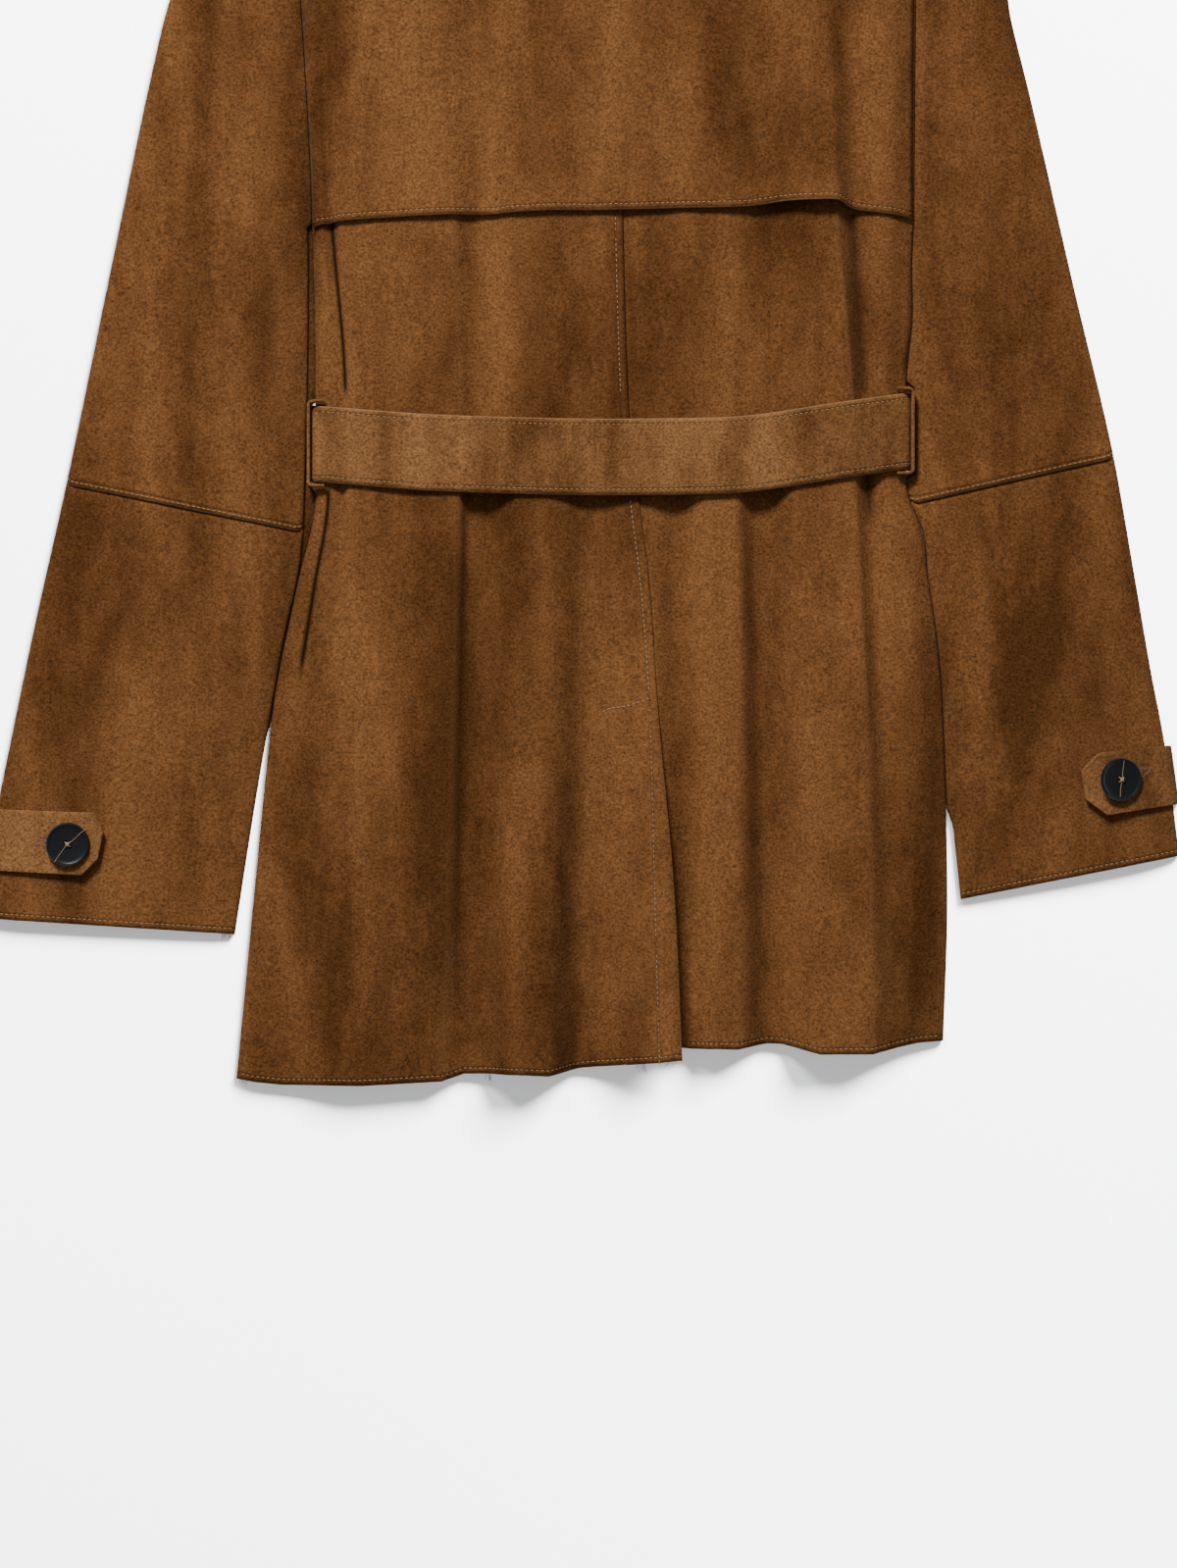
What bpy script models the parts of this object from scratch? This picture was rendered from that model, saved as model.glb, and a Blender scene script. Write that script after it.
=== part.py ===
"""A short faux suede trench coat, laid flat on its front with its back up.

Sizes are millimetres until the last step, which makes metres of them. X runs to the right,
Y up along the back and Z up from the table. X = 0 is the middle of the back and Y = 0 the
waist while the pieces are made; at the end the coat is moved so that the origin is the middle
of its footprint. Every cloth piece is an open surface with the wall put on inside it.
"""
import math
from collections import namedtuple

import bmesh
import bpy
import numpy as np
from mathutils import Matrix, Vector

# Cloth and seams
WALL = 1.2               # one layer of suede cloth
DOUBLE = 2.4             # belt, loops and tabs are two layers
SEAM = 0.3               # air between two pieces at a seam
REST = 0.35              # air under a piece that lies on another

# The body
NECK_HALF = 85.0         # middle of the back to the neck point
NECK_Y = 430.0           # the neck point
NAPE_DIP = 11.0          # how far the back neck curves down
TIP_HALF = 227.0         # middle of the back to the shoulder tip
TIP_DROP = 53.0          # the shoulder tip lies this much lower than the neck point
UNDERARM_Y = 157.0
ROW_STEP = 29.0          # distance between rows of the cloth's mesh
COLUMN_STEP = 15.0

# The belt
BELT_HALF = 27.0
BELT_LIFT_Y = 11.5       # middle of the stretch of the body that lies on the belt
BELT_LIFT_HALF = 33.0
BELT_RAMP = 24.0         # the body climbs onto the belt's lower stretch in this length
BELT_STEP = 16.0
BELT_LEVELS = (44, 22, 0, -32)   # where the belt touches the folds under it
BELT_GAP = 0.5           # air between the belt and the highest folds
BELT_LEAVES = (3.6, 9.0)         # inset from the body's side and height where the belt turns down
# The belt's way round a side: reach beyond the body's side, height of its outer side
BELT_TURN = ((0.9, 9.8), (2.7, 7.6), (2.95, 5.0), (2.9, 2.8), (1.5, 0.6), (-1.8, 0.0))
BELT_OUT = BELT_TURN[2][0]
BELT_REACH = 206.0       # folds farther from the middle than this don't carry the belt
BELT_FLOOR_INSET = 40.0  # the lower stretch has its first column this far from the side
BELT_CENTRE = ((-211, 7), (-108, -1), (0, -3.5), (77, -2.5), (168, 9), (212, 16))

# Fronts
LAP = 80.0               # each front passes the middle by this much
LAP_RAMP = 12.0
FRONT_COLUMN = 150.0     # a column of the fronts' mesh half way to the side
FRONT_NECK_DIP = 40.0    # how far the fronts' neckline lies below the neck point
FRONT_HEM_INSET = 0.6    # the fronts' sides draw in by this much more at the hem
FRONT_HEM = ((-270, -443), (-150, -440), (0, -424), (80, -412), (240, -409))

# The levels at which the folds of the back are measured
STATIONS = (425, 325, 174, 38, -28, -95, -176, -319, -435)
CHEST, FLAP_LEVEL = STATIONS[1], STATIONS[2]
VENT, SKIRT, HEM = STATIONS[6], STATIONS[7], STATIONS[8]

# One row for each fold line of the back: is it a sharp crease, where the hem crosses it,
# its x at each station and the height of the cloth's outer side there.
Fold = namedtuple("Fold", "name sharp hem x z")
LEFT_BACK = (
    Fold("side", False, -445, (-227, -219, -211, -208.5, -208.5, -222, -238, -253, -265),
         (2.9, 5.4, 5.4, 8.0, 8.0, 5.4, 5.4, 5.4, 5.4)),
    Fold("side strip", False, -447, (-218, -212, -204, -199, -199, -209, -222, -241, -252),
         (2.9, 8.5, 9, 9.5, 9.5, 9, 8, 8, 8)),
    Fold("folded valley", True, -449, (-206, -202, -197, -187, -189, -190, -199, -220, -231),
         (2.9, 6.2, 6, 7.2, 7.2, 7.5, 8.6, 9, 8.6)),
    Fold("folded edge", False, -449, (-198, -195, -190, -181, -183, -181, -186, -208, -218),
         (2.9, 11, 14, 13, 13, 12, 10, 11, 10)),
    Fold("side ridge", False, -449, (-150, -152, -147, -144, -147, -150, -154, -165, -175),
         (2.9, 15, 16, 14, 14, 16, 18, 18.5, 18)),
    Fold("left crease", True, -446, (-112, -115, -111, -105, -105.5, -107, -109, -113, -118),
         (2.9, 14, 15, 14, 18, 18, 18, 17, 16)),
    Fold("crease foot", False, -441, (-100, -98, -98, -96, -99, -100, -101, -102, -102),
         (2.9, 9, 9, 9, 7.2, 7, 7.2, 7, 7)),
    Fold("left valley", False, -441, (-86, -84, -84, -85, -86, -89, -90, -90, -89),
         (2.9, 8, 8.5, 8.5, 7.2, 7.5, 8, 8, 8)),
    Fold("left ridge", False, -440.5, (-66, -66, -66, -63, -63, -64, -64, -63, -63),
         (2.9, 15, 16, 16, 19, 21, 22, 25, 28)),
    Fold("left ridge end", False, -441.5, (-48, -49, -50, -48, -45, -42, -41, -41, -42),
         (2.9, 15, 16, 16, 19, 21, 22, 25, 27)),
    Fold("middle valley", False, -437, (-10, -10, -10, -10, -10, -11, -12, -15, -20),
         (2.9, 11, 11.5, 12, 12, 12, 11, 8, 7)),
    Fold("stitch line", False, -432, (2, 3, 5, 9, 15, 23, 29, 33, 36),
         (2.9, 12, 12, 13, 16, 18, 20, 24, 27)),
    Fold("centre edge", False, -430, (7, 8, 10, 14, 21, 29, 34.5, 47, 52),
         (2.9, 12, 12, 13, 16.5, 19, 22, 27, 30)),
)
RIGHT_BACK = (
    Fold("centre seam", True, -422, (7.8, 8.8, 10.8, 14.8, 21.8, 29.8, 35.2, 47, 52),
         (2.9, 11, 11, 12, 15.2, 17.4, 19.9, 18, 16.5)),
    Fold("seam foot", False, -423, (33, 34, 35, 47, 49, 52, 55, 58, 60),
         (2.9, 9.5, 9.5, 10, 9.5, 10, 12, 13, 13)),
    Fold("right ridge", False, -422.5, (56, 57, 60, 64, 69, 73, 76, 77, 76),
         (2.9, 14, 15, 16, 17.5, 19, 20, 21, 22)),
    Fold("right ridge end", False, -423, (76, 77, 80, 82, 90, 92, 93, 95, 92),
         (2.9, 14.5, 15.5, 16, 17.5, 19, 20, 20.5, 20.5)),
    Fold("deep valley", False, -419.5, (105, 106, 108, 103, 104, 106, 109, 112, 113),
         (2.9, 9, 9, 9, 7.2, 7, 7, 7, 7)),
    Fold("deep valley end", False, -420, (115, 116, 118, 112, 112, 114, 117, 122, 124),
         (2.9, 8.5, 8.5, 8.5, 7.2, 7.2, 7.5, 7.5, 7.5)),
    Fold("broad ridge", False, -426, (136, 137, 139, 134, 133, 138, 141, 149, 150),
         (2.9, 15, 16, 16, 18, 20.5, 22, 24, 27)),
    Fold("right crease", True, -426, (159, 159, 162, 173, 175, 178, 182, 186, 187),
         (2.9, 15, 17.5, 17, 18, 20, 21.5, 23.5, 25.5)),
    Fold("right crease foot", False, -422, (172, 173, 174, 182, 185, 190, 195, 203, 205),
         (2.9, 8.5, 8.5, 8.5, 8.5, 9.5, 11, 13, 15)),
    Fold("side bump", False, -419, (196, 196, 198, 196, 197, 207, 214, 218, 220),
         (2.9, 12, 12.5, 12, 12, 12.5, 13, 12, 10)),
    Fold("side", False, -418, (227, 219, 217, 209.5, 210, 228, 238, 242, 239),
         (2.9, 5.4, 5.4, 8.0, 8.0, 5.4, 5.4, 5.4, 5.4)),
)

# The underlap of the vent lies under the left back. It starts on the slanted vent top.
Underlap = namedtuple("Underlap", "name top hem x z")
UNDERLAP = (
    Underlap("inner edge", -186, -424, (-7, 10, 14), (9.2, 12, 12.5)),
    Underlap("middle", -181, -424, (14, 22, 25), (13.6, 14.5, 14)),
    Underlap("under the stitches", -177, -423, (29, 33, 36), (17.6, 16.5, 15.5)),
)

# How a side edge turns under, from the table up: inset from the edge, height of outer side
TURN = ((4.2, 0.0), (1.5, 0.0), (0.35, 0.9), (0.0, 2.4), (0.7, 4.2))
TURN_TOP = 2.5           # inset at which the turn ends and the table of folds begins
ARMHOLE_Z = 4.6          # above the underarm the edge doesn't turn under but stops here

# The loose lower edge of the storm flap: x, y and how far it is lifted off the back
FLAP_EDGE = ((-228, 157, 0.3), (-199, 163, 0.8), (-98, 169.5, 1.2), (21, 173, 1.5), (92, 174.5, 2.0),
             (126, 178, 7.0), (158, 178.5, 7.5), (171, 173.5, 1.5), (230, 166, 0.3))
FLAP_CURL = 45.0         # the flap leaves the back within this length of its lower edge
FLAP_REST = 0.8          # air under the flap where it lies on the back
FLAP_ROWS = 9

# Sleeves: sections from the shoulder to the cuff. Outer and inner edge points; then three
# fold lines, each a share of the way from the outer to the inner edge, and a height.
Section = namedtuple("Section", "name outer inner crown valley swell")
LEFT_SLEEVE = (
    Section("shoulder", (-296, 348), (-227, 376), (0.35, 5.4), (0.60, 5.4), (0.80, 5.2)),
    Section("cap", (-305, 339), (-224, 354), (0.30, 8.0), (0.60, 7.0), (0.82, 7.0)),
    Section("cap foot", (-310.5, 330), (-221, 332), (0.30, 9.0), (0.55, 7.0), (0.80, 8.0)),
    Section("chest", (-316, 312), (-218.9, 297), (0.30, 9.5), (0.52, 7.0), (0.78, 8.5)),
    Section("upper arm", (-329, 255), (-215.6, 234), (0.28, 9.5), (0.48, 6.5), (0.74, 9.0)),
    Section("above elbow", (-357, 120), (-213.8, 115), (0.28, 9.5), (0.53, 6.0), (0.76, 9.0)),
    Section("elbow", (-386, -20), (-217.6, -54), (0.30, 9.5), (0.64, 5.8), (0.82, 8.5)),
    Section("forearm", (-409, -123), (-233.4, -143), (0.34, 9.0), (0.72, 5.6), (0.87, 7.6)),
    Section("above cuff", (-434, -244), (-251.8, -251), (0.36, 8.6), (0.76, 6.2), (0.90, 6.6)),
    Section("cuff", (-452, -330), (-266, -342), (0.40, 9.0), (0.70, 8.0), (0.88, 7.0)),
)
RIGHT_SLEEVE = (
    Section("shoulder", (273, 355), (227, 376), (0.35, 5.4), (0.60, 5.4), (0.80, 5.2)),
    Section("cap", (280, 345), (224, 354), (0.30, 7.5), (0.60, 6.0), (0.82, 6.0)),
    Section("cap foot", (284, 334), (221, 332), (0.28, 9.0), (0.60, 5.6), (0.82, 6.5)),
    Section("chest", (286.5, 315), (219.9, 297), (0.28, 9.5), (0.62, 5.4), (0.84, 6.5)),
    Section("upper arm", (301, 255), (218.9, 234), (0.30, 9.5), (0.72, 5.6), (0.88, 6.2)),
    Section("above elbow", (332, 120), (218.0, 115), (0.32, 9.5), (0.80, 6.2), (0.92, 6.2)),
    Section("elbow", (360.5, -1.4), (219.0, -34), (0.34, 9.5), (0.80, 7.0), (0.93, 6.4)),
    Section("forearm", (374.5, -81), (231.0, -100), (0.34, 9.2), (0.78, 7.0), (0.92, 6.4)),
    Section("lower arm", (387, -154), (239.4, -176), (0.34, 9.0), (0.76, 6.6), (0.90, 6.6)),
    Section("above cuff", (397, -207), (242.0, -225), (0.34, 9.0), (0.74, 6.6), (0.90, 6.6)),
    Section("cuff", (407.4, -286), (251.3, -317), (0.36, 9.2), (0.70, 8.0), (0.88, 7.0)),
)
SLEEVE_ROWS = 2          # mesh rows from one section to the next
SLEEVE_EDGE = 5.4        # height of the outer side where the turn at an edge ends
SLEEVE_EDGE_SLOPE = 45.0         # rise there for a whole sleeve's width
SLEEVE_COLUMNS = (3, 3, 2, 2)    # mesh columns between the fold lines
ELBOW_GAP = 0.00136      # half the elbow seam's gap, as a share of the way between sections
LEFT_PART, RIGHT_PART = -205.0, -266.0   # below these heights the sleeve and body part
PART_RAMP = 22.0         # the under sleeve narrows over this length above them
UNDER_CLEAR = 0.6        # air between the under sleeve and the body's side

# Belt loops
LOOP_SLACK = 1.8         # room above and below the belt
LOOP_FLAT = 7.0          # how far in from the body's side a loop begins
LOOP_TOP = 14.2
LOOP_WALL = 2.2

# Cuff tabs: how far up from the cuff they lie, their reach from the outer edge; then the
# button, its tilt in degrees and how far its middle stands off the tab
Tab = namedtuple("Tab", "low high reach chamfer button_at tilt seat")
LEFT_TAB = Tab(low=36, high=80, reach=79, chamfer=9, button_at=56, tilt=4, seat=2.05)
RIGHT_TAB = Tab(low=35, high=79, reach=62, chamfer=14, button_at=36, tilt=14, seat=2.5)
TAB_LIFT = 3.2           # the tab's end stands off the sleeve
TAB_REST = 0.1           # air between the tab's wrap and the sleeve's side, over the turn's own
TAB_ROOT = 1.2           # the tab leaves the sleeve's side this far in
TAB_ROWS = (0.0, 0.28, 0.72, 1.0)
TAB_WRAP = ((0.5, 0.8), (0.6, 3.4))   # its way down the side: reach out, height
BUTTON_RADIUS = 15.5
BUTTON_HEIGHT = 3.2
BUTTON_HOLE = 1.3
BUTTON_SPREAD = 2.6

# Collar, folded over at the neck
ROLL_Y = 454.0
ROLL_HALF = 80.0
FALL_Y = 376.0
FALL_HALF = 122.0
FALL_REST = 2.8          # from the back's outer side to the fall's under side: the flap, and air

# Colours, as linear values
SUEDE = (0.130, 0.055, 0.018, 1)
LIGHT_SUEDE = (0.185, 0.085, 0.032, 1)
BUTTON = (0.012, 0.014, 0.018, 1)


def clear_scene():
    for thing in list(bpy.data.objects):
        bpy.data.objects.remove(thing, do_unlink=True)


def make_collection(name):
    group = bpy.data.collections.new(name)
    bpy.context.scene.collection.children.link(group)
    return group


def make_material(name, colour, roughness):
    material = bpy.data.materials.new(name)
    material.use_nodes = True
    shader = material.node_tree.nodes["Principled BSDF"]
    shader.inputs["Base Color"].default_value = colour
    shader.inputs["Roughness"].default_value = roughness
    shader.inputs["Metallic"].default_value = 0.0
    return material


# Curves through table values ------------------------------------------------------------

def curve_slopes(at, values):
    """Slopes of a curve through the values that has no hump of its own between them."""
    at, values = np.asarray(at, float), np.asarray(values, float)
    rise = np.diff(values) / np.diff(at)
    slopes = np.zeros(len(at))
    slopes[0], slopes[-1] = rise[0], rise[-1]
    for i in range(1, len(at) - 1):
        if rise[i - 1] * rise[i] > 0:
            slopes[i] = 2 * rise[i - 1] * rise[i] / (rise[i - 1] + rise[i])
    return slopes


def hermite(t, span, start, end, slope_start, slope_end):
    """The curve from start to end at t = 0..1, with the slopes it has at both ends."""
    return (start * (1 + 2 * t) * (1 - t) ** 2 + end * t * t * (3 - 2 * t)
            + span * (slope_start * t * (1 - t) ** 2 - slope_end * t * t * (1 - t)))


def along(at, values, where):
    """A smooth curve through values at rising places, read at one place."""
    i = int(np.clip(np.searchsorted(at, where) - 1, 0, len(at) - 2))
    slopes = curve_slopes(at, values)
    span = at[i + 1] - at[i]
    t = min(max((where - at[i]) / span, 0.0), 1.0)
    return float(hermite(t, span, values[i], values[i + 1], slopes[i], slopes[i + 1]))


def down(values, y):
    """A table row's value at height y; its numbers run down the stations."""
    return along([-s for s in STATIONS], values, -y)


# The back: fold lines to a surface ------------------------------------------------------

def side_sign(folds):
    """-1 for the left back, +1 for the right one."""
    return -1 if folds[0].name == "side" else 1


def back_section(folds, y):
    """The fold lines at height y: x, z, and the slope to the left and right of each."""
    x = np.array([down(fold.x, y) for fold in folds])
    z = np.array([down(fold.z, y) for fold in folds])
    edge = 0 if side_sign(folds) < 0 else -1
    x[edge] -= side_sign(folds) * TURN_TOP
    rise = np.diff(z) / np.diff(x)
    left, right = curve_slopes(x, z), curve_slopes(x, z)
    for i, fold in enumerate(folds):
        if fold.sharp and 0 < i < len(folds) - 1:
            left[i], right[i] = 0.6 * rise[i - 1], 1.1 * rise[i]
    return x, z, left, right


def section_point(section, i, t):
    """x and z at share t of the way from fold line i to the next one."""
    xs, zs, left, right = section
    span = xs[i + 1] - xs[i]
    return float(xs[i] + t * span), float(hermite(t, span, zs[i], zs[i + 1], right[i], left[i + 1]))


def back_height(folds, x, y):
    section = back_section(folds, y)
    xs = section[0]
    i = int(np.clip(np.searchsorted(xs, x) - 1, 0, len(xs) - 2))
    t = min(max((x - xs[i]) / (xs[i + 1] - xs[i]), 0.0), 1.0)
    return section_point(section, i, t)[1]


def cloth_height(x, y):
    """Height of the back's outer side, whichever panel is there."""
    seam = down(LEFT_BACK[-1].x, y)
    return back_height(LEFT_BACK if x < seam else RIGHT_BACK, x, y)


def shoulder_y(x):
    """The upper edge of the back: the neck curve, then the shoulder seam."""
    if abs(x) <= NECK_HALF:
        return NECK_Y - NAPE_DIP * (1 - (x / NECK_HALF) ** 2)
    return NECK_Y - TIP_DROP * (abs(x) - NECK_HALF) / (TIP_HALF - NECK_HALF)


def true_y(y, x, hem):
    """Rows are level in the table's terms; at the shoulder and hem they follow the edge."""
    if y > CHEST:
        return CHEST + (shoulder_y(x) - CHEST) * (y - CHEST) / (STATIONS[0] - CHEST)
    if y < SKIRT:
        return SKIRT + (hem - SKIRT) * (y - SKIRT) / (HEM - SKIRT)
    return y


# Levels where the body starts to climb onto the belt, and where the armhole ends
BODY_BENDS = (BELT_LIFT_Y + BELT_LIFT_HALF + BELT_RAMP, BELT_LIFT_Y + BELT_LIFT_HALF,
              BELT_LIFT_Y - BELT_LIFT_HALF, BELT_LIFT_Y - BELT_LIFT_HALF - BELT_RAMP,
              UNDERARM_Y, UNDERARM_Y + 2)


def row_levels(top, bottom):
    """Even rows from top to bottom that pass through each station on the way."""
    stops = [top, bottom] + [s for s in STATIONS + BODY_BENDS if bottom < s < top]
    stops.sort(reverse=True)
    levels = []
    for upper, lower in zip(stops, stops[1:]):
        count = max(1, round((upper - lower) / ROW_STEP))
        levels += [upper + (lower - upper) * k / count for k in range(count)]
    return levels + [bottom]


def belt_lift(y):
    """How far the body is lifted where it lies on the belt's lower stretch."""
    t = min(max((abs(y - BELT_LIFT_Y) - BELT_LIFT_HALF) / BELT_RAMP, 0.0), 1.0)
    return (DOUBLE + SEAM) * (1 - t * t * (3 - 2 * t))


def belt_low_y(x):
    """The lower stretch runs straight from one side of the belt to the other."""
    (x0, y0), (x1, y1) = BELT_CENTRE[0], BELT_CENTRE[-1]
    return y0 + (y1 - y0) * (x - x0) / (x1 - x0)


def column_plan(folds):
    """Fold intervals and the shares of each at which a mesh column stands."""
    xs = back_section(folds, STATIONS[5])[0]
    plan = []
    for i in range(len(folds) - 1):
        count = max(1, round((xs[i + 1] - xs[i]) / COLUMN_STEP))
        plan += [(i, k / count) for k in range(count)]
    return plan + [(len(folds) - 2, 1.0)]


def back_row(folds, plan, y):
    """One row of points across a back panel, without the turn at its side."""
    section = back_section(folds, y)
    row = []
    for i, t in plan:
        x, z = section_point(section, i, t)
        hem = folds[i].hem + t * (folds[i + 1].hem - folds[i].hem)
        row.append(Vector((x, true_y(y, x, hem), z)))
    return row


def side_turn(folds, y):
    """The points of the side edge that turns under; None above the underarm."""
    sign = side_sign(folds)
    fold = folds[0] if sign < 0 else folds[-1]
    edge, top = down(fold.x, y), down(fold.z, y)
    level = true_y(y, edge, fold.hem)
    lift = belt_lift(y)
    points = []
    for inset, height in TURN:
        z = height + lift
        if y > UNDERARM_Y:
            z = min(ARMHOLE_Z, top - 0.6) if inset == 0.0 else None
        elif inset == TURN[-1][0]:
            z = min(z, top - 0.8)
        points.append(None if z is None else Vector((edge - sign * inset, level, z)))
    return points


def back_grid(folds):
    plan = column_plan(folds)
    levels = row_levels(STATIONS[0], HEM)
    grid = []
    for y in levels:
        row, turn = back_row(folds, plan, y), side_turn(folds, y)
        grid.append(turn + row if side_sign(folds) < 0 else row + turn[::-1])
    return levels, grid


def underlap_point(line, y):
    where = [-VENT, -SKIRT, -HEM]
    x, z = along(where, line.x, -y), along(where, line.z, -y)
    if y <= SKIRT:
        return Vector((x, true_y(y, x, line.hem), z))
    share = (VENT - y) / (VENT - SKIRT)
    return Vector((x, line.top + (SKIRT - line.top) * share, z))


def right_back_grid():
    """The right back with the underlap's columns in front of its first one."""
    levels, grid = back_grid(RIGHT_BACK)
    for i, y in enumerate(levels):
        flap = [underlap_point(line, y) if y <= VENT else None for line in UNDERLAP]
        grid[i] = flap + grid[i]
    return grid


# Meshes ---------------------------------------------------------------------------------

def surface_mesh(name, grid, ring=False):
    """Faces between the points of a grid; a face with a missing corner is left out."""
    mesh = bpy.data.meshes.new(name)
    shape = bmesh.new()
    made = [[shape.verts.new(p * 0.001) if p is not None else None for p in row] for row in grid]
    for upper, lower in zip(made, made[1:]):
        pairs = list(zip(range(len(upper)), range(1, len(upper))))
        if ring:
            pairs.append((len(upper) - 1, 0))
        for a, b in pairs:
            corners = (upper[a], lower[a], lower[b], upper[b])
            if all(corners):
                shape.faces.new(corners)
    loose = [v for v in shape.verts if not v.link_faces]
    bmesh.ops.delete(shape, geom=loose, context="VERTS")
    shape.to_mesh(mesh)
    shape.free()
    return mesh


def add_piece(group, name, mesh, material, wall=WALL):
    """A named piece whose wall lies under its surface."""
    piece = bpy.data.objects.new(name, mesh)
    group.objects.link(piece)
    mesh.materials.append(material)
    mesh.shade_smooth()
    if wall:
        solidify = piece.modifiers.new("wall", "SOLIDIFY")
        solidify.thickness = wall * 0.001
        solidify.offset = -1.0
        solidify.use_even_offset = True
        solidify.use_quality_normals = True
    return piece


def grid_normals(grid):
    """The outward normal at each point, from its neighbours in the grid."""
    normals = []
    for r, row in enumerate(grid):
        line = []
        for c in range(len(row)):
            across = row[min(c + 1, len(row) - 1)] - row[max(c - 1, 0)]
            upper, lower = grid[max(r - 1, 0)][c], grid[min(r + 1, len(grid) - 1)][c]
            line.append(across.cross(upper - lower).normalized())
        normals.append(line)
    return normals


def move_out(grid, distance):
    """The same surface moved out; distance is a number or one for each point."""
    normals = grid_normals(grid)
    moved = []
    for r, row in enumerate(grid):
        moved.append([p + normals[r][c] * (distance[r][c] if isinstance(distance, list) else distance)
                      for c, p in enumerate(row)])
    return moved


# Storm flap -----------------------------------------------------------------------------

def flap_edge(x):
    xs = [row[0] for row in FLAP_EDGE]
    return (along(xs, [row[1] for row in FLAP_EDGE], x),
            along(xs, [row[2] for row in FLAP_EDGE], x))


def flap_grid():
    """The flap is the back's surface from the shoulder to its loose edge, moved out."""
    plans = [(folds, column_plan(folds)) for folds in (LEFT_BACK, RIGHT_BACK)]
    grid, lifts = [], []
    for k in range(FLAP_ROWS + 1):
        share = k / FLAP_ROWS
        row, lift_row = [], []
        for folds, plan in plans:
            for i, t in plan if side_sign(folds) < 0 else plan[1:]:
                low, lift = flap_edge(section_point(back_section(folds, FLAP_LEVEL), i, t)[0])
                y = STATIONS[0] + (low - STATIONS[0]) * share
                x, z = section_point(back_section(folds, y), i, t)
                row.append(Vector((x, true_y(y, x, 0), z)))
                near = max(0.0, 1 - (y - low) / FLAP_CURL)
                lift_row.append(WALL + FLAP_REST + lift * near * near)
        grid.append(row)
        lifts.append(lift_row)
    return move_out(grid, lifts)


# Fronts ---------------------------------------------------------------------------------

def front_grid(sign):
    """A flat front under the back. The right one lies on the table, the left one on it."""
    folds = LEFT_BACK if sign < 0 else RIGHT_BACK
    edge_fold = folds[0] if sign < 0 else folds[-1]
    levels = row_levels(STATIONS[0], HEM)
    inner = (-LAP - LAP_RAMP, -LAP, 0.0, LAP) if sign < 0 else (LAP, 0.0, -LAP)
    grid = []
    for y in levels:
        edge = down(edge_fold.x, y)
        inset = TURN[0][0] + SEAM if y <= UNDERARM_Y else SEAM
        inset += FRONT_HEM_INSET * max(0.0, (SKIRT - y) / (SKIRT - HEM))
        row = []
        for x in (edge - sign * inset, sign * FRONT_COLUMN) + inner:
            z = WALL + belt_lift(y)
            if sign < 0 and x >= -LAP:
                z += WALL + SEAM
            row.append(Vector((x, front_y(y, x), z)))
        grid.append(row if sign < 0 else row[::-1])
    return grid


def front_hem(x):
    """The fronts end a little above the back's hem, which drops to the left."""
    return along([row[0] for row in FRONT_HEM], [row[1] for row in FRONT_HEM], x)


def front_y(y, x):
    """Level rows, but the shoulder, the slanted neckline and the hem at their own places."""
    if y > CHEST:
        top = shoulder_y(x) - SEAM if abs(x) >= NECK_HALF else NECK_Y - FRONT_NECK_DIP
        return CHEST + (top - CHEST) * (y - CHEST) / (STATIONS[0] - CHEST)
    if y < SKIRT:
        return SKIRT + (front_hem(x) - SKIRT) * (y - SKIRT) / (HEM - SKIRT)
    return y


# Belt and loops -------------------------------------------------------------------------

def upper_hull(points):
    """The taut line over a row of points."""
    hull = []
    for p in sorted(points):
        while len(hull) > 1:
            (x1, z1), (x2, z2) = hull[-2], hull[-1]
            if (x2 - x1) * (p[1] - z1) - (z2 - z1) * (p[0] - x1) < 0:
                break
            hull.pop()
        hull.append(p)
    return hull


def belt_path():
    """The belt's outer side as a closed path in x and z, anticlockwise from the top left."""
    points = []
    for folds in (LEFT_BACK, RIGHT_BACK):
        for y in BELT_LEVELS:
            for x in np.arange(-BELT_REACH, BELT_REACH + 1.0, 4.0):
                xs = back_section(folds, y)[0]
                if xs[0] <= x <= xs[-1]:
                    points.append((float(x), cloth_height(x, y)))
    hull = upper_hull(points)
    left, right = down(LEFT_BACK[0].x, 0), down(RIGHT_BACK[-1].x, 0)
    inset, height = BELT_LEAVES
    top = [(left + inset, height)] + [p for p in hull if left + 5 < p[0] < right - 5]
    top.append((right - inset, height))
    gap = BELT_GAP + DOUBLE
    path = []
    for (x1, z1), (x2, z2) in zip(top, top[1:]):
        count = max(1, round((x2 - x1) / BELT_STEP))
        path += [(x1 + (x2 - x1) * k / count, z1 + (z2 - z1) * k / count + gap) for k in range(count)]
    path.append((top[-1][0], top[-1][1] + gap))
    path += [(right + reach, z) for reach, z in BELT_TURN]
    path += [(x, 0.0) for x in np.linspace(right - BELT_FLOOR_INSET, left + BELT_FLOOR_INSET, 7)]
    path += [(left - reach, z) for reach, z in BELT_TURN[::-1]]
    return path


def belt_y(x, low):
    if low:
        return belt_low_y(x)
    return along([p[0] for p in BELT_CENTRE], [p[1] for p in BELT_CENTRE], x)


def belt_grid():
    path = belt_path()
    rows = (1.0, 0.5, 0.0, -0.5, -1.0)
    grid = []
    for share in rows:
        grid.append([Vector((x, belt_y(x, z < 3.0) + share * BELT_HALF, z)) for x, z in path])
    return grid


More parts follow.
